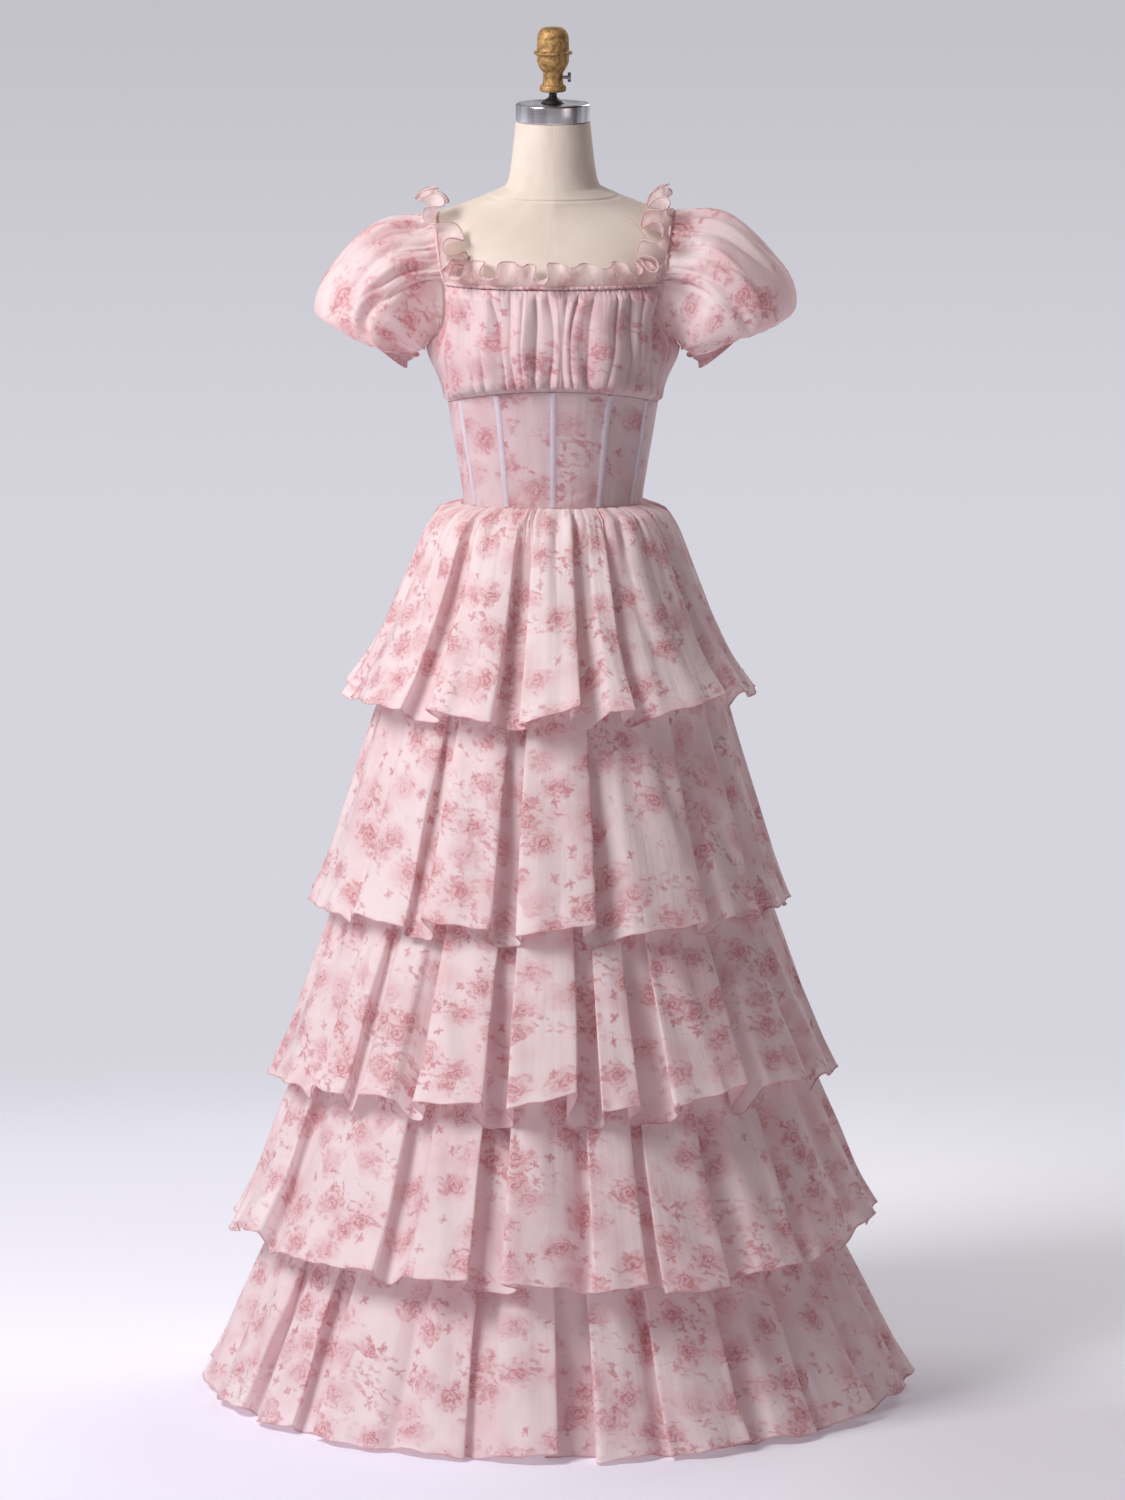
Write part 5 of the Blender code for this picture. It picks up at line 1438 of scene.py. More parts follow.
    def dress(self) -> None:
        """Makes the casing and its frill."""
        line, heights, leans = self.path()
        tangent = unit(np.gradient(line, axis=0))
        away = FIGURE.off(line)[1]
        away = unit(away - tangent * (away * tangent).sum(-1, keepdims=True))
        up = np.cross(away, tangent)
        self.casing(line, away, up)
        self.frill(line, heights, leans, away, up)


# ---------------------------------------------------------------- the sleeves
@dataclass(frozen=True)
class Bulge:
    """A soft swelling of a sleeve: its middle and spread in degrees round the arm and levels down it."""

    turn: float
    level: float
    turn_spread: float
    level_spread: float
    push: tuple[float, float, float]

    def move(self, turn: Array, level: Array) -> Array:
        """How far it moves each place of the left sleeve."""
        aside = (np.mod(turn - self.turn + 180, 360) - 180) / self.turn_spread
        down = (level - self.level) / self.level_spread
        return np.exp(-(aside**2) - down**2)[..., None] * np.asarray(self.push)


@dataclass
class Sleeve:
    """A puff sleeve, from the strap and the armhole to its elastic cuff."""

    finishes: Finishes
    side: int
    name: str
    bulges: tuple[Bulge, ...]
    folds: tuple[Crease, ...]
    seed: int
    # Rings round the arm: outer point and inner point in the X-Z plane, and half the depth.
    rings: tuple[tuple[float, ...], ...] = (
        (0.2110, 1.5080, 0.1535, 1.3370, 0.080),
        (0.2550, 1.4820, 0.1550, 1.3310, 0.096),
        (0.2890, 1.4450, 0.1580, 1.3280, 0.100),
        (0.3055, 1.4100, 0.1620, 1.3260, 0.094),
        (0.3075, 1.3800, 0.1660, 1.3240, 0.082),
        (0.2880, 1.3640, 0.1710, 1.3190, 0.066),
        (0.2375, 1.3770, 0.1770, 1.3240, 0.041),
    )
    fold_turn: float = 26.0  # the degrees to one unit of the folds' table
    columns: int = 360
    levels: int = 86
    cuff_length: float = 0.015

    def base(self, turn: Array) -> Array:
        """The sleeve's own edge: beside the strap above, and over the bodice's armhole below."""
        radians = np.radians(turn)
        upper = strap_point(1, np.clip(turn, 0, 180))
        away = FIGURE.off(upper)[1]
        outward = unit(np.array((1.0, 0.0, 0.0)) - away * away[:, :1])
        upper = upper + outward * (CASING_RADIUS * 0.71 + 2 * SEAM_GAP)
        corner = level_point(np.array(CORNER_ANGLE))
        lower = np.stack(
            (
                np.full(len(turn), 0.150),
                1.06 * corner[1] * np.cos(radians),
                NECKLINE_Z + (NECKLINE_Z - UNDERARM_Z + 0.004) * np.sin(radians),
            ),
            -1,
        )
        lower = FIGURE.stand_off(lower, WEAR_GAP + 2 * CLOTH + 0.0008)
        return np.where(((turn > 0) & (turn < 180))[:, None], upper, lower)

    def ring(self, row: Sequence[float], turn: Array) -> Array:
        """One ring of the left sleeve."""
        radians = np.radians(turn)
        outer, inner = np.array((row[0], 0, row[1])), np.array((row[2], 0, row[3]))
        spoke = np.sin(radians)[:, None] * (outer - inner) / 2
        spoke = spoke + np.cos(radians)[:, None] * np.array((0, -row[4], 0))
        return (outer + inner) / 2 + spoke

    def surface(self) -> tuple[Array, Array, Array]:
        """The sleeve's plain form with its folds pressed in.

        Returns:
            The points of the left sleeve, level by level, its turns, and its levels.
        """
        turn = np.linspace(0, 360, self.columns, endpoint=False)
        rings = np.stack([self.base(turn)] + [self.ring(row, turn) for row in self.rings])
        spacing = np.linalg.norm(np.diff(rings, axis=0), axis=-1).mean(axis=1)
        knots = np.concatenate(([0.0], np.cumsum(spacing)))
        knots *= len(self.rings) / knots[-1]
        level = np.linspace(0, len(self.rings), self.levels)
        points = curve(knots, rings, level)
        reach = eased(level, 0.0, 0.5)[:, None, None]
        turns, levels = np.broadcast_arrays(turn[None, :], level[:, None])
        across, down = np.gradient(points, axis=1), np.gradient(points, axis=0)
        out = unit(np.cross(down, across))
        centre = points.mean(axis=1, keepdims=True)
        out = out * np.sign((out * (points - centre)).sum(-1).mean())
        end = float(len(self.rings))
        upper = eased(np.sin(np.radians(turns)), -0.30, 0.15)
        strap_gathers = gathers(turns, 7.5, 360, self.seed) * np.exp(-levels / 0.95) * upper
        under_gathers = gathers(turns, 9.0, 360, self.seed + 5) * np.exp(-levels / 0.45) * (1 - upper)
        falls = gathers(turns + 6 * np.sin(levels), 19.0, 360, self.seed + 9)
        falls = falls * hump(levels, 1.7, 1.6) * upper
        cuff_gathers = gathers(turns, 10.0, 360, self.seed + 12) * np.exp(-(end - levels) / 0.62)
        cuff_falls = gathers(turns, 24.0, 360, self.seed + 15) * np.exp(-(end - levels) / 1.7)
        rest = eased(levels, 0.0, 0.25) * eased(levels, end, end - 0.12)
        height = 0.0095 * strap_gathers + 0.0030 * under_gathers + 0.0105 * (falls - 0.65)
        height = height + 0.0030 * cuff_gathers + 0.0048 * (cuff_falls - 0.45) * eased(levels, end - 5, end - 3)
        folds = pressed(self.folds, turns / self.fold_turn, levels, 360 / self.fold_turn)
        height = height * (0.35 + 0.65 * rest) + folds * rest
        points = points + out * height[..., None]
        for bulge in self.bulges:
            points = points + bulge.move(turns, levels) * reach
        return points, turns, levels

    def own_side(self, points: Array, cloth: Array) -> Patch:
        """The left sleeve's points on this sleeve's own side, with the columns so that the cloth faces out."""
        if self.side > 0:
            return Patch(points[:, ::-1], cloth[:, ::-1], round_columns=True)
        return Patch(points * np.array((-1, 1, 1)), cloth, round_columns=True)

    def cuff(self) -> bpy.types.Object:
        """The elastic cuff, ruched all round, with a rolled edge."""
        row = self.rings[-1]
        across = unit(np.array((row[0] - row[2], 0, row[1] - row[3])))
        away = np.array((across[2], 0, -across[0]))
        turn = np.linspace(0, 360, 288, endpoint=False)
        plain = self.ring(row, turn)
        centre = plain.mean(axis=0)
        spoke = unit(plain - centre)
        down = rows_down(15)
        pinch = -0.0022 * hump(down, 0.5, 0.28)
        flare = 0.0016 * eased(down, 0.6, 1.0)
        lean = 0.35 * np.sin(math.pi * down)
        ribs = gathers(turn[None, :] + 2.2 * lean, 8.2, 360, self.seed + 31)
        height = pinch + flare + 0.0032 * (ribs - 0.35)
        points = plain + away * (2 * SEAM_GAP + down * (self.cuff_length - 2 * SEAM_GAP))[..., None]
        points = points + spoke * height[..., None]
        s = np.radians(turn) * 0.045
        sheet = self.own_side(points, on_cloth(0.2 + s[None, :] * 2, 1.9 + down * 0.016))
        rim = bead(sheet.points[-1], HEM_ROLL, True, 1, sheet.cloth[-1])
        piece = build(f"{self.name}_cuff", [sheet, rim], [self.finishes.gathered, self.finishes.hem])
        return carry(piece, "form", "organza", self.name.replace("sleeve", "cuff"))

    def dress(self) -> None:
        """Makes the sleeve and its cuff."""
        points, turns, levels = self.surface()
        cloth = on_cloth(0.4 + 0.37 * self.side + np.radians(turns) * 0.095, 2.2 + levels * 0.028)
        piece = build(f"{self.name}_puff", [self.own_side(points, cloth)], [self.finishes.puff])
        carry(piece, "form", "organza", self.name)
        cuff = self.cuff()


# ---------------------------------------------------------------- the skirt
# The outside of the underskirt: heights, its radius there, and its depth as a share of the radius.
FOUNDATION = (
    (1.138, 0.1122, 0.835),
    (1.100, 0.1370, 0.860),
    (1.050, 0.1620, 0.900),
    (0.950, 0.1950, 0.970),
    (0.690, 0.2480, 1.000),
    (0.470, 0.2960, 1.000),
    (0.265, 0.3320, 1.000),
    (0.004, 0.3900, 1.000),
)


def foundation_point(angle: Array, z: Array, out: Array | float = 0.0) -> Array:
    """Points on the outside of the underskirt.

    Args:
        angle: degrees round it.
        z: heights.
        out: how far outside it.

    Returns:
        The points.
    """
    angle, z, out = np.broadcast_arrays(angle, z, out)
    table = np.asarray(FOUNDATION)[::-1]
    radius, depth = np.moveaxis(curve(table[:, 0], table[:, 1:], z), -1, 0)
    radius = radius + out
    radians = np.radians(angle)
    plain = np.stack((radius * np.sin(radians), -radius * depth * np.cos(radians), z), -1)
    worn = np.clip((z - HIP_Z) / (WAIST_Z - HIP_Z), 0.0, 1.0)[..., None] ** 2
    return plain + (FIGURE.point(angle, z, LYING_GAP + CLOTH + out) - plain) * worn


# One place on a tier's hem: the angle above it where the cloth is gathered, its own angle, how far inside the crests
# it is as a share of the tier's depth, and how much lower it hangs.
Mark = tuple[float, float, float, float]


@dataclass(frozen=True)
class Fold:
    """A fold of a tier at its hem, in degrees.

    Its crest runs from start to end. The trough after it is so deep, as a share of the tier's depth. under_left and
    under_right say how far the troughs on either side tuck in behind the crest, and rise_left and rise_right how far
    the crest's ends hang above the tier's own hem, in millimetres.
    """

    start: float
    end: float
    trough: float
    under_left: float
    under_right: float
    rise_left: float
    rise_right: float

    def face(self, left: float, before: float) -> list[Mark]:
        """The marks on the crest.

        Args:
            left: how far the trough after it tucks in behind the next crest.
            before: how far the trough before it tucks in behind the crest before.

        Returns:
            The marks, from its start.
        """
        wide, tr = self.end - self.start, self.trough
        first, last = -self.rise_left / 1000, -self.rise_right / 1000
        leans_back = bool(before) and not self.under_left
        if leans_back and not left:
            insets = ((0.10, 0.40 * tr), (0.36, 0.18 * tr), (0.64, 0.04), (0.92, 0.0))
        elif left and not self.under_right and not leans_back:
            insets = ((0.08, 0.0), (0.36, 0.04), (0.64, 0.18 * tr), (0.90, 0.40 * tr))
        else:
            insets = ((0.12, 0.05), (0.38, 0.0), (0.66, 0.015), (0.90, 0.03))
        places = ((self.start + share * wide, share, inset) for share, inset in insets)
        return [(place, place, inset, first + (last - first) * share) for place, share, inset in places]


@dataclass(frozen=True)
class Trough:
    """The trough between two folds."""

    fold: Fold
    following: Fold
    begin: float  # the angle where the following fold starts

    @property
    def low(self) -> float:
        """How much lower than the tier's hem it hangs."""
        return 0.002 + 0.009 * self.fold.trough

    def marks(self) -> list[Mark]:
        """The trough's marks, from one crest to the next."""
        end, begin, tr = self.fold.end, self.begin, self.fold.trough
        gap, low = begin - end, self.low
        right, left = self.fold.under_right, self.following.under_left
        last, coming = -self.fold.rise_right / 1000, -self.following.rise_left / 1000
        if right and left:
            middle = [(end + 0.50 * gap, end + 0.50 * gap, tr, low)]
        elif right:
            middle = [
                (end + 0.52 * gap, end + 0.34 * gap, 0.80 * tr, low),
                (end + 0.78 * gap, end + 0.72 * gap, 0.66 * tr, 0.6 * low + 0.4 * coming),
            ]
        elif left:
            middle = [
                (begin - 0.78 * gap, begin - 0.72 * gap, 0.60 * tr, 0.6 * low + 0.4 * last),
                (begin - 0.52 * gap, begin - 0.34 * gap, 0.90 * tr, low),
            ]
        else:
            middle = [(end + 0.50 * gap, end + 0.50 * gap, 0.14 + 0.32 * tr, 0.6 * low)]
        after = self.edge(end, gap, right, bool(left), last, 0.96 if left else 0.84)
        return after + middle + self.edge(begin, -gap, -left, bool(right), coming, 0.96)[::-1]

    def edge(self, at: float, gap: float, under: float, other: bool, drop: float, deep: float) -> list[Mark]:
        """The marks beside one crest, from its edge inwards.

        Args:
            at: the angle of the crest's edge.
            gap: the width of the trough; below nought where it runs to the left.
            under: how far the trough tucks in behind the crest, with the sign of gap.
            other: whether it tucks in behind the other crest.
            drop: how much lower the crest's edge hangs.
            deep: how deep the tuck ends, as a share of the trough.

        Returns:
            The marks.
        """
        tr, low = self.fold.trough, self.low
        if not under:
            return [(at, at, 0.50 * tr if other else 0.10 + 0.08 * tr, drop + 0.2 * (low - drop))]
        return [
            (at, at, 0.10, drop),
            (at + 0.08 * gap, at - 0.25 * under, 0.34 * tr + 0.04, drop + 0.3 * (low - drop)),
            (at + 0.18 * gap, at - under, 0.66 * tr + 0.04, drop + 0.7 * (low - drop)),
            (at + 0.30 * gap, at - 0.45 * under, deep * tr, low),
        ]


@dataclass(frozen=True)
class HemLine:
    """The section of a tier at its hem, column by column."""

    along: Array  # its place along the cloth, in metres
    top: Array  # its angle where the cloth is gathered, in degrees
    hem: Array  # its angle at the hem
    inset: Array  # how far inside the crests it is, as a share of the tier's depth
    drop: Array  # how much lower it hangs
    width: float  # of the whole cloth


@dataclass
class Tier:
    """One gathered tier of the skirt."""

    finishes: Finishes
    number: int
    top: float
    hem: float
    radius: float
    bell: float  # how far it swells just below its top
    depth: float
    swing: float
    gather: float  # how far the gathers stand out at the top
    folds: tuple[Fold, ...]
    origin: tuple[float, float]
    rows: int = 38
    roll: float = 0.0009  # half the thickness of its rolled hem
    flat: tuple[float, float] = (0.0, 0.0)  # its size on the table, once its surface is made

    def section(self) -> HemLine:
        """The tier's section at the hem."""
        marks = []
        after = [*self.folds[1:], self.folds[0]]
        for k, (fold, following) in enumerate(zip(self.folds, after)):
            begin = following.start + (360 if k == len(self.folds) - 1 else 0)
            marks += fold.face(following.under_left, self.folds[k - 1].under_right)
            marks += Trough(fold, following, begin).marks()
        table = np.asarray(marks)
        radians, inside = np.radians(table[:, 1]), self.radius - self.depth * table[:, 2]
        flat = np.stack((inside * np.sin(radians), -inside * np.cos(radians)), -1)
        chords = np.linalg.norm(np.roll(flat, -1, axis=0) - flat, axis=1)
        knots = np.concatenate(([0.0], np.cumsum(chords)[:-1]))
        total = float(chords.sum())
        counts = np.maximum(np.ceil(chords / 0.0042).astype(int), 3)
        s = np.concatenate([k + c * np.arange(n) / n for k, c, n in zip(knots, chords, counts)])
        straight = knots / total * 360 + table[0, 0]  # angles less an even slope, so that they repeat
        angles = curve(knots, table[:, :2] - straight[:, None], s, total) + (s / total * 360 + table[0, 0])[:, None]
        others = curve(knots, table[:, 2:], s, total)
        return HemLine(s, angles[:, 0], angles[:, 1], others[:, 0], others[:, 1], total)

    def surface(self) -> tuple[Array, Array]:
        """The tier's points and their places on the cloth."""
        line = self.section()
        s, total = line.along[None, :], line.width
        t = rows_down(self.rows) ** 1.08
        top_angle, hem_angle = line.top[None, :], line.hem[None, :]
        seed = 100 * self.number
        lean = 2.2 * ripple(s, total / 9, total, seed + 7) * np.sin(np.pi * t) * 0.6
        angle = top_angle + (hem_angle - top_angle) * eased(t, 0.02, 0.34) + lean * 0.5
        top = self.top + (waist_z(top_angle) - WAIST_Z if self.number == 1 else 0.0)
        top = top + (0.0020 if self.number == 1 else 0.0) * gathers(s, 0.034, total, seed + 1)
        hem = np.maximum(self.hem - line.drop[None, :], 0.0022)
        z = top + (hem - top) * t
        start = foundation_point(angle, top, SEAM_GAP + CLOTH + LYING_GAP)
        radians = np.radians(angle)
        hem_out = np.stack((self.radius * np.sin(radians), -self.radius * np.cos(radians)), -1)
        hem_out[..., 0] += self.swing
        reach = (t + self.bell * (1 - np.exp(-t / 0.06)) * (1 - t) ** 2 - 0.02 * np.sin(np.pi * t**3))[..., None]
        crest = start[..., :2] + (hem_out - start[..., :2]) * reach
        floor = foundation_point(angle, np.maximum(z, FOUNDATION[-1][0]), CLOTH + 0.0012)[..., :2]
        outward = unit(np.stack((np.sin(radians), -np.cos(radians)), -1))
        room = ((crest - floor) * outward).sum(-1)
        fold = self.depth * line.inset[None, :] * (1 - np.exp(-t / 0.17)) * (0.82 + 0.18 * t)
        inside = np.minimum(fold, np.maximum(room - 0.001, 0.0))
        pleats = gathers(s, 0.034, total, seed + 1) * np.exp(-t / 0.10)
        small = gathers(s + 0.006 * np.sin(6 * t), 0.076, total, seed + 4) * np.exp(-t / 0.40)
        broad = ripple(s + 0.02 * np.sin(5 * t), 0.085, total, seed + 11) * hump(t, 0.60, 0.45)
        edge = ripple(s, 0.060, total, seed + 15) * eased(t, 0.80, 1.0)
        gathered = 0.4 * pleats + small - 0.5 * eased(t, 0.0, 0.1)
        push = self.gather * gathered * (0.3 + 0.7 * eased(t, 0.0, 0.045)) + 0.0032 * broad + 0.0022 * edge
        push = np.maximum(push, -np.maximum(room - inside - 0.0008, 0.0))
        points = np.empty((*crest.shape[:2], 3))
        points[..., :2] = crest + outward * (push - inside)[..., None]
        points[..., 2] = z + 0.0014 * ripple(s, 0.050, total, seed + 19) * eased(t, 0.85, 1.0)
        length = math.hypot(self.top - self.hem, self.radius - float(np.linalg.norm(start[0, :, :2], axis=-1).mean()))
        cloth = np.empty((self.rows, s.shape[1] + 1, 2))
        cloth[:, :-1, 0], cloth[:, -1, 0] = self.origin[0] + s, self.origin[0] + total
        cloth[..., 1] = self.origin[1] + t * length
        self.flat = (round(total, 2), round(length, 3))
        return points, cloth

    def dress(self) -> None:
        """Makes the tier with its rolled hem."""
        points, cloth = self.surface()
        patches = [Patch(points, cloth, round_columns=True), bead(points[-1], self.roll, True, 1, cloth[-1, :-1])]
        piece = build(f"tier_{self.number}_flounce", patches, [self.finishes.skirt, self.finishes.hem])
        carry(piece, "form", "organza", f"tier_{self.number}_front", f"tier_{self.number}_back")
        log.info("tier %d flat %s", self.number, self.flat)


@dataclass
class Skirt:
    """The underskirt and its five tiers."""

    finishes: Finishes

    def underskirt(self) -> None:
        """The plain skirt that carries the tiers."""
        angle = np.linspace(0, 360, 256, endpoint=False)[None, :]
        t = rows_down(50)
        top = waist_z(angle) - 2 * SEAM_GAP
        z = top + (FOUNDATION[-1][0] - top) * t
        sway = 0.0030 * ripple(angle, 17.0, 360.0, 31) * eased(t, 0.55, 1.0)
        points = foundation_point(angle, z, -0.0004 - 0.5 * np.abs(sway) + sway * 0.4)
        cloth = on_cloth(np.radians(angle) * 0.39, t * 1.21)
        patches = [Patch(points, cloth, round_columns=True), bead(points[-1], HEM_ROLL, True, 1, cloth[-1])]
        piece = build("underskirt", patches, [self.finishes.under, self.finishes.hem])
        carry(piece, "form", "organza", "foundation_front", "foundation_back")

    def dress(self) -> None:
        """Makes the underskirt and hangs the tiers on it."""
        self.underskirt()
        for number, (sizes, folds) in enumerate(zip(TIERS, FOLDS), start=1):
            rows = tuple(Fold(*row) for row in folds)
            Tier(self.finishes, number, *sizes, rows, (0.7 * number, 0.43 * number)).dress()


# Each tier's top, hem, radius at the hem, bell, depth of its troughs, sideways swing, and gathers at its top.
TIERS = (
    (1.1377, 0.898, 0.2690, 0.25, 0.031, -0.006, 0.0135),
    (0.9450, 0.632, 0.3110, 0.05, 0.027, -0.004, 0.0080),
    (0.6850, 0.412, 0.3670, 0.05, 0.032, -0.001, 0.0080),
    (0.4650, 0.212, 0.4180, 0.08, 0.037, 0.000, 0.0080),
    (0.2620, 0.010, 0.4600, -0.02, 0.040, 0.007, 0.0085),
)
# The folds of each tier, from the right side seam round: start, end, trough, under_left, under_right, rise_left,
# rise_right.
FOLDS = (
    (
        (-92, -82, 0.45, 0.0, 0.0, 0, -1),
        (-74, -45, 0.70, 0.0, 1.6, 5, 7),
        (-36, -16, 1.00, 2.4, 1.0, 12, 2),
        (-8, 9, 0.85, 1.4, 2.6, 1, 24),
        (17, 25, 0.75, 0.0, 2.6, 15, 13),
        (31, 60, 0.50, 0.0, 0.0, 4, 20),
        (66, 78, 0.40, 0.0, 0.0, 14, 8),
        (84, 95, 0.70, 0.0, 2.0, 0, 3),
        (102, 121, 0.90, 2.0, 0.0, 6, 14),
        (128, 140, 0.70, 0.0, 2.5, 8, 3),
        (147, 171, 1.00, 0.0, 2.5, 4, 17),
        (179, 198, 0.80, 2.5, 0.0, 14, 2),
        (205, 217, 0.60, 0.0, 2.0, 8, 12),
        (223, 247, 0.90, 2.0, 0.0, 15, 3),
        (254, 262, 0.60, 0.0, 0.0, 4, 6),
    ),
    (
        (-92, -84, 0.35, 0.0, 0.0, -3, 0),
        (-79, -60, 0.50, 0.0, 0.0, 2, 6),
        (-55, -37, 0.65, 0.0, 1.0, 14, 8),
        (-32, -14, 1.00, 2.0, 1.4, 20, 14),
        (-8, 11, 0.95, 0.8, 2.8, 8, 23),
        (19, 41, 0.75, 0.0, 1.6, 6, 12),
        (47, 60, 0.60, 0.0, 1.0, 11, 4),
        (66, 78, 0.45, 0.0, 0.0, 6, 3),
        (84, 93, 0.70, 0.0, 0.0, 2, 0),
        (99, 114, 0.90, 2.0, 0.0, 5, 16),
        (121, 143, 0.80, 0.0, 2.0, 12, 4),
        (149, 161, 0.60, 0.0, 1.5, 10, 14),
        (168, 190, 1.00, 2.0, 0.0, 4, 18),
        (197, 210, 0.70, 0.0, 2.0, 13, 6),
        (216, 238, 0.90, 0.0, 2.0, 5, 16),
        (245, 262, 0.60, 0.0, 0.0, 8, 2),
    ),
    (
        (-92, -84, 0.35, 0.0, 0.0, -6, -4),
        (-78, -62, 0.55, 0.0, 0.0, 4, 8),
        (-57, -47, 0.60, 0.0, 0.8, 16, 13),
        (-43, -33, 0.55, 0.0, 0.0, 20, 22),
        (-29, -14, 1.00, 1.6, 1.6, 19, 25),
        (-9, 5, 0.95, 0.8, 2.0, 20, 40),
        (10, 18, 0.70, 1.0, 2.0, 15, 20),
        (25, 43, 0.90, 1.8, 1.6, 16, 33),
        (49, 64, 0.55, 0.0, 0.0, 24, 18),
        (70, 80, 0.45, 0.0, 0.0, 12, 8),
        (85, 94, 0.80, 0.0, 0.0, 2, 0),
        (100, 112, 0.70, 2.0, 0.0, 8, 14),
        (118, 138, 0.90, 0.0, 2.0, 18, 6),
        (145, 157, 0.60, 0.0, 1.5, 12, 16),
        (163, 182, 0.95, 2.0, 0.0, 8, 22),
        (189, 203, 0.70, 0.0, 2.0, 16, 8),
        (209, 228, 0.90, 1.5, 0.0, 6, 18),
        (235, 262, 0.60, 0.0, 0.0, 10, 0),
    ),
    (
        (-92, -84, 0.50, 0.0, 0.0, -10, -6),
        (-78, -66, 0.75, 0.0, 1.0, 16, 18),
        (-61, -33, 0.75, 0.0, 1.8, 2, 11),
        (-28, -15, 0.85, 0.0, 1.8, 8, 10),
        (-9, 3, 1.00, 2.4, 0.0, 9, 1),
        (7, 17, 0.55, 1.0, 2.0, -2, 4),
        (20, 33, 0.90, 0.8, 2.2, -8, -10),
        (39, 50, 0.60, 0.0, 0.0, 2, 6),
        (55, 68, 0.80, 0.0, 2.2, 8, 18),
        (74, 83, 0.45, 0.0, 0.0, 16, 20),
        (88, 96, 0.80, 0.0, 0.0, 24, 12),
        (102, 117, 0.80, 2.0, 0.0, 4, 14),
        (123, 134, 0.60, 0.0, 1.5, 8, 4),
        (140, 161, 0.95, 1.5, 0.0, 2, 16),
        (168, 180, 0.70, 0.0, 2.0, 12, 6),
        (186, 207, 0.90, 1.5, 0.0, 4, 18),
        (213, 224, 0.60, 0.0, 1.5, 12, 8),
        (230, 247, 0.80, 1.5, 0.0, 6, 14),
        (253, 262, 0.60, 0.0, 0.0, 2, -6),
    ),
    (
        (-91, -80, 0.50, 0.0, 0.0, 2, 0),
        (-75, -62, 0.70, 0.0, 1.0, -2, 4),
        (-58, -48, 0.70, 0.0, 1.2, -4, 2),
        (-43, -30, 0.60, 1.0, 0.0, 0, -5),
        (-26, -15, 0.60, 0.0, 1.4, 2, -4),
        (-11, 0, 1.00, 0.0, 2.2, -2, 6),
        (6, 15, 0.60, 1.4, 0.0, -6, 0),
        (18, 32, 0.90, 1.0, 1.4, -4, 5),
        (37, 46, 0.60, 0.0, 1.0, 2, -3),
        (50, 62, 0.70, 0.0, 1.4, 0, 8),
        (67, 77, 0.60, 0.0, 0.0, 4, 8),
        (82, 93, 0.80, 0.0, 0.0, 10, 4),
        (98, 110, 0.60, 1.5, 0.0, -4, 6),
        (116, 134, 0.90, 0.0, 1.8, 4, -2),
        (140, 152, 0.70, 1.5, 0.0, -4, 6),
        (158, 177, 0.95, 0.0, 1.8, 6, -2),
        (183, 196, 0.70, 1.5, 0.0, -4, 5),
        (202, 222, 0.90, 0.0, 1.8, 4, -3),
        (228, 241, 0.60, 0.0, 0.0, -4, 4),
        (247, 262, 0.70, 1.2, 0.0, 4, 2),
    ),
)


# ---------------------------------------------------------------- the zip
@dataclass
class Zip:
    """The coil zip down the centre back, with its slider at the top."""

    finishes: Finishes
    top_z: float = 1.4262
    teeth_top_z: float = 1.4130  # under the slider

    def dress(self) -> None:
        """Makes the tape and its two rows of coil, and finishes the slider and the pull."""
        z = np.linspace(self.top_z, WAIST_Z + 2 * SEAM_GAP, 130)
        share = np.array((-1, -1, -0.94, -0.7, -0.35, 0, 0.35, 0.7, 0.94, 1, 1))[None, :]
        back = FIGURE.point(np.full(len(z), 180.0), z, clearance(z))
        crown = np.array((0.0, 0.0006, 0.0010, 0.0011, 0.0012, 0.0013, 0.0012, 0.0011, 0.0010, 0.0006, 0.0))
        points = np.empty((len(z), share.shape[1], 3))
        points[..., 0] = -share * ZIP_HALF
        points[..., 1] = back[:, 1:2] + crown
        points[..., 2] = z[:, None]
        cloth = on_cloth(share * ZIP_HALF, (z[0] - z)[:, None])
        tape = build("zip_tape", [Patch(points, cloth)], [self.finishes.under])
        carry(tape, "form", "zip_coil", "zip_chain")
        low = z < self.teeth_top_z
        lines = [np.stack((np.full(low.sum(), x), back[low, 1] + 0.0015, z[low]), -1) for x in (-0.0009, 0.0009)]
        coil = Run(Bit.TOOTH, 0.0015, (0.0016, 0.0006, 0.0008)).make("zip_teeth", lines, self.finishes.coil)
        carry(coil, "form", "zip_coil")
        paint_nodes(self.finishes.brass, "zip_slider", "zip_pull")


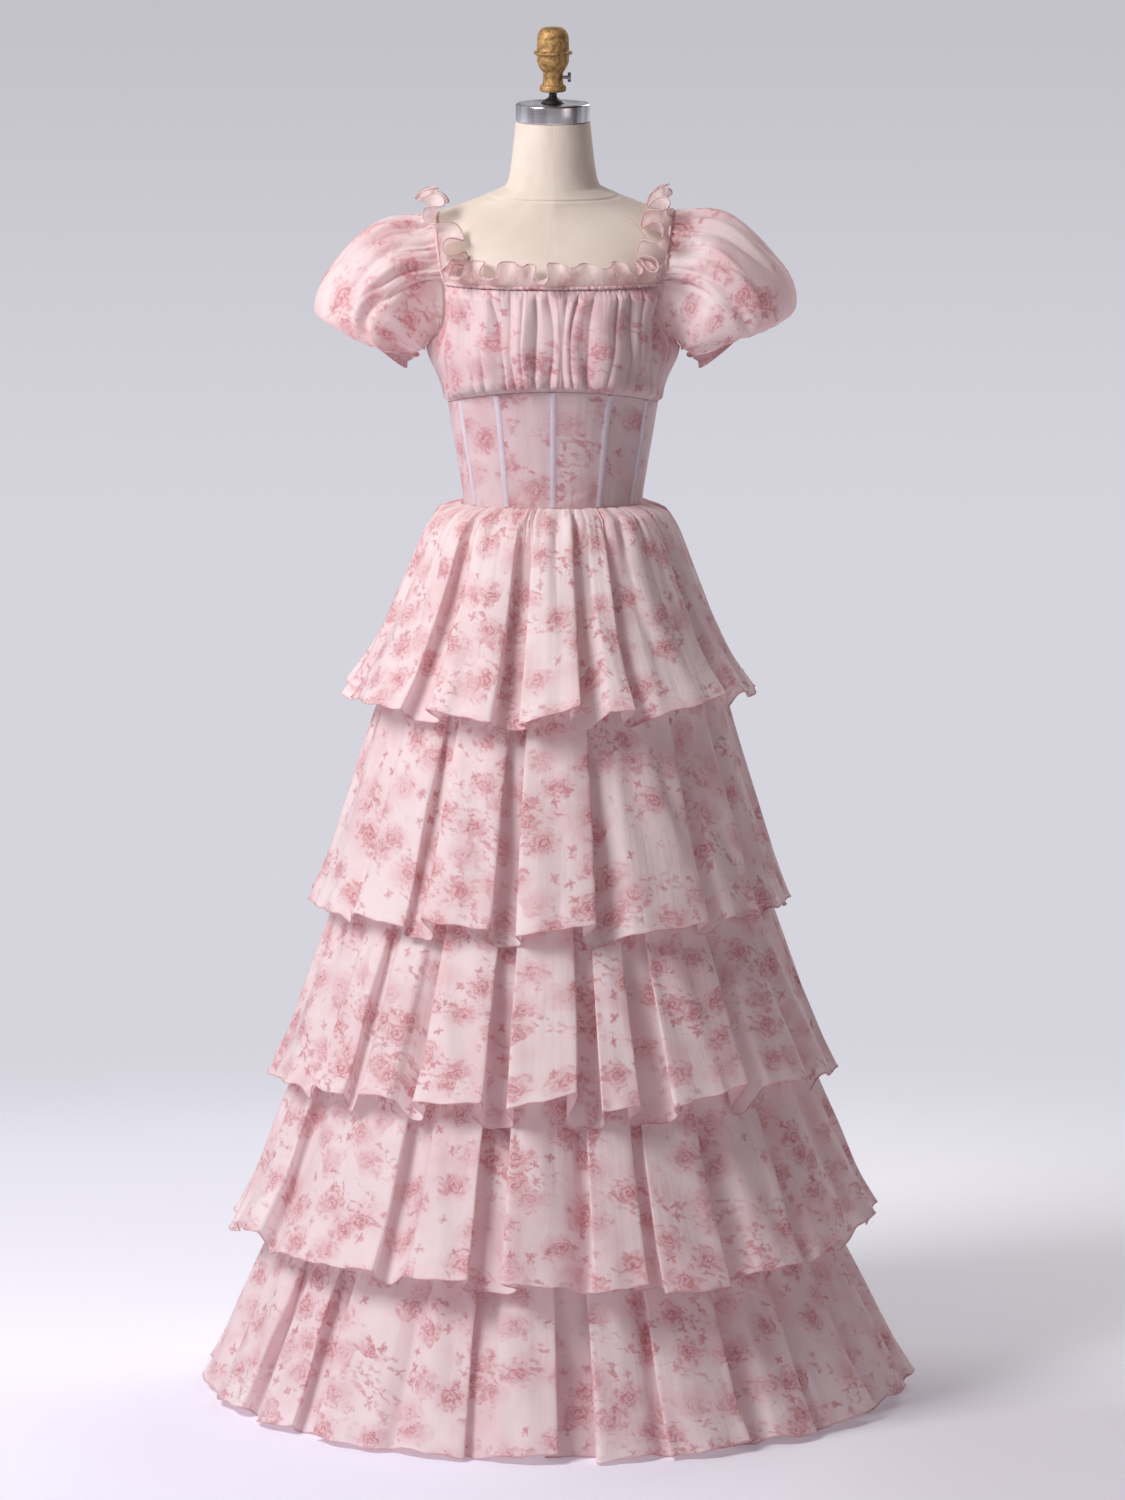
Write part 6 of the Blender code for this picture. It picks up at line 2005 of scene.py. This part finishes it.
# ---------------------------------------------------------------- the studio
@dataclass
class Studio:
    """The pale floor, the soft lights and the camera."""

    camera_at: tuple[float, float, float] = (0.012, -12.0, 2.95)
    pitch: float = 10.0656  # degrees downwards
    lens: float = 230.2
    target: tuple[float, float, float] = (0.0, 0.0, 0.85)  # the middle of the dress

    def camera(self) -> None:
        """The camera."""
        data = bpy.data.cameras.new("camera")
        data.lens, data.sensor_width = self.lens, 36.0
        data.clip_start, data.clip_end = 0.1, 200.0
        camera = add_object("camera", data)
        camera.location = self.camera_at
        camera.rotation_euler = (math.radians(90 - self.pitch), 0.0, 0.0)
        bpy.context.scene.camera = camera

    def floor(self) -> None:
        """A round floor that fades into the backdrop's colour, with painted shadow in its tone and a glow of its own.
        """
        turns = np.linspace(0, 2 * math.pi, 96, endpoint=False)[None, :]
        radius = np.array([0.001, 0.6, 1.2, 2.0, 3.0, 4.5, 7.0])[:, None]
        points = np.stack((radius * np.sin(turns), radius * np.cos(turns), 0 * radius * turns - 0.0002), -1)
        material, graph = new_material("pale_floor_painted_shadow")
        place = graph.add("TexCoord", out="Object")
        reach = graph.add("VectorMath", {0: place}, "Value", operation="LENGTH")
        fade = graph.add("MapRange", {0: reach, 1: 0.95, 2: 2.3}, interpolation_type="SMOOTHERSTEP")
        spot = graph.add("SeparateXYZ", {0: place}).node
        # Painted light: the floor's tone is a little brighter to the right, where the dress's shadow falls.
        tone = self.blend(graph, spot.outputs[0], -0.3, 0.8, linear("#EEEEFA"), linear("#F4F3FB"))
        # Painted shadow: towards the camera it is greyer, most of all on the side away from the key light.
        near = self.blend(graph, spot.outputs[0], -0.2, 0.6, linear("#F6F3F7"), linear("#D9D6D9"))
        near = self.blend(graph, spot.outputs[1], -0.22, 0.22, near, linear("#FFFFFF"))
        tone = tinted(graph, tone, near)
        # Painted light: the floor glows with a little light of its own, which brightens it and lights the dress from
        # below.
        plain = graph.add(
            "BsdfPrincipled",
            {"Base Color": tone, "Roughness": 0.75, "Emission Color": tone, "Emission Strength": 0.20},
        )
        clear = graph.add("BsdfTransparent")
        both = graph.add("MixShader", {0: fade, 1: plain, 2: clear})
        graph.add("OutputMaterial", {"Surface": both})
        build("floor", [Patch(points, round_columns=True)], [material])

    def sky(self) -> None:
        """The light of a white studio, greyer towards the top and dimmer overhead on the right, with painted shadow
        on its far floor to the right.
        """
        world = bpy.data.worlds.new("studio")
        world.use_nodes = True
        world.node_tree.nodes.clear()
        graph = Graph(world.node_tree)
        way = graph.add("SeparateXYZ", {0: graph.add("TexCoord", out="Generated")}).node
        across, height = way.outputs[0], way.outputs[2]
        # Painted shadow: below the horizon, where it shows as the far floor, it is greyer to the right.
        floor = self.blend(graph, across, -0.02, 0.05, linear("#F4F1FD"), linear("#D8D7DE"))
        ceiling = self.blend(graph, across, -0.7, 0.7, linear("#B0ADAE"), linear("#3F3937"))
        colour = self.blend(graph, height, -0.224, -0.206, floor, linear("#D6D5DE"))
        colour = self.blend(graph, height, -0.160, -0.085, colour, linear("#C2C0C7"))
        colour = self.blend(graph, height, 0.02, 0.40, colour, ceiling)
        # Behind the camera the room is dimmer, so that the folds keep their shade.
        room = self.blend(graph, way.outputs[1], -0.35, 0.25, linear("#C6C1BF"), linear("#FFFFFF"))
        colour = tinted(graph, colour, room)
        light = graph.add("Background", {"Color": colour, "Strength": 1.0})
        graph.add("OutputWorld", {"Surface": light})
        bpy.context.scene.world = world

    def blend(self, graph: Graph, place: object, low: float, high: float, first: object, last: object) -> object:
        """Two colours that run softly into each other between two places."""
        share = graph.add("MapRange", {0: place, 1: low, 2: high}, interpolation_type="SMOOTHSTEP")
        return mixed(graph, share, first, last)

    def lamp(self, name: str, at: tuple[float, float, float], size: float, power: float, colour: str) -> None:
        """A soft box aimed at the middle of the dress.

        Args:
            name: the lamp's name.
            at: where it stands.
            size: the side of its square face.
            power: its power in watts.
            colour: its colour.
        """
        data = bpy.data.lights.new(name, "AREA")
        data.size, data.energy, data.color = size, power, linear(colour)[:3]
        lamp = add_object(name, data)
        way = unit(np.array(self.target) - np.array(at))
        lamp.location = at
        lamp.rotation_euler = (math.acos(-way[2]), 0.0, math.atan2(-way[0], way[1]))

    def dress(self) -> None:
        """Sets up the studio."""
        self.camera()
        self.floor()
        self.sky()
        self.lamp("key", (-2.35, -1.85, 3.25), 1.5, 142.0, "#FFFDFC")
        self.lamp("fill", (4.2, -4.4, 1.8), 2.6, 24.0, "#FFF0E8")
        self.lamp("back", (2.2, 4.0, 3.4), 2.4, 70.0, "#FFFFFF")
        view = bpy.context.scene.view_settings
        view.view_transform, view.look = "Standard", "None"


LEFT_BULGES = (
    Bulge(5, 5.5, 26, 1.2, (0.002, -0.006, 0.004)),
    Bulge(85, 4.2, 36, 1.1, (0.008, 0.000, 0.002)),
    Bulge(140, 4.2, 30, 1.2, (0.003, 0.006, -0.003)),
)
RIGHT_BULGES = (
    Bulge(8, 5.7, 28, 1.2, (-0.016, -0.020, -0.008)),
    Bulge(80, 1.2, 40, 1.1, (-0.010, 0.000, -0.008)),
    Bulge(80, 3.0, 36, 1.2, (-0.008, 0.000, 0.002)),
    Bulge(150, 4.4, 30, 1.2, (0.003, 0.006, -0.004)),
)
# Long folds, as turn / 26 and level at either end, then width and depth.
LEFT_FOLDS = (
    Crease(1.3, 0.4, 1.0, 5.2, 0.22, 0.0060),
    Crease(2.1, 0.3, 2.2, 4.0, 0.20, -0.0050),
    Crease(0.4, 1.0, 0.3, 6.4, 0.26, -0.0060),
    Crease(3.0, 0.3, 3.3, 3.4, 0.22, 0.0045),
    Crease(4.3, 0.5, 4.5, 4.4, 0.24, -0.0045),
    Crease(5.4, 0.6, 5.7, 5.4, 0.26, 0.0055),
    Crease(6.4, 1.4, 6.6, 6.4, 0.24, -0.0050),
)
RIGHT_FOLDS = (
    Crease(1.5, 0.4, 1.2, 4.6, 0.22, -0.0055),
    Crease(0.9, 0.6, 0.6, 5.8, 0.24, 0.0060),
    Crease(2.5, 0.3, 2.4, 4.2, 0.20, 0.0045),
    Crease(0.2, 2.2, 0.5, 6.4, 0.22, -0.0065),
    Crease(3.6, 0.3, 3.9, 3.6, 0.22, -0.0045),
    Crease(4.8, 0.5, 5.0, 4.8, 0.24, 0.0050),
    Crease(6.0, 1.2, 6.3, 6.2, 0.24, -0.0050),
)


def main() -> None:
    """Builds everything in order."""
    logging.basicConfig(level=logging.INFO, format="%(name)s: %(message)s")
    Studio().dress()
    finishes = Finishes()
    parts = (
        DressForm(finishes),
        Stand(finishes),
        Corset(finishes),
        Bust(finishes),
        Neckline(finishes),
        Sleeve(finishes, 1, "sleeve_left", LEFT_BULGES, LEFT_FOLDS, 300),
        Sleeve(finishes, -1, "sleeve_right", RIGHT_BULGES, RIGHT_FOLDS, 400),
        Skirt(finishes),
        Zip(finishes),
    )
    for part in parts:
        part.dress()
        log.info("%s done", type(part).__name__)


if __name__ == "__main__":
    main()
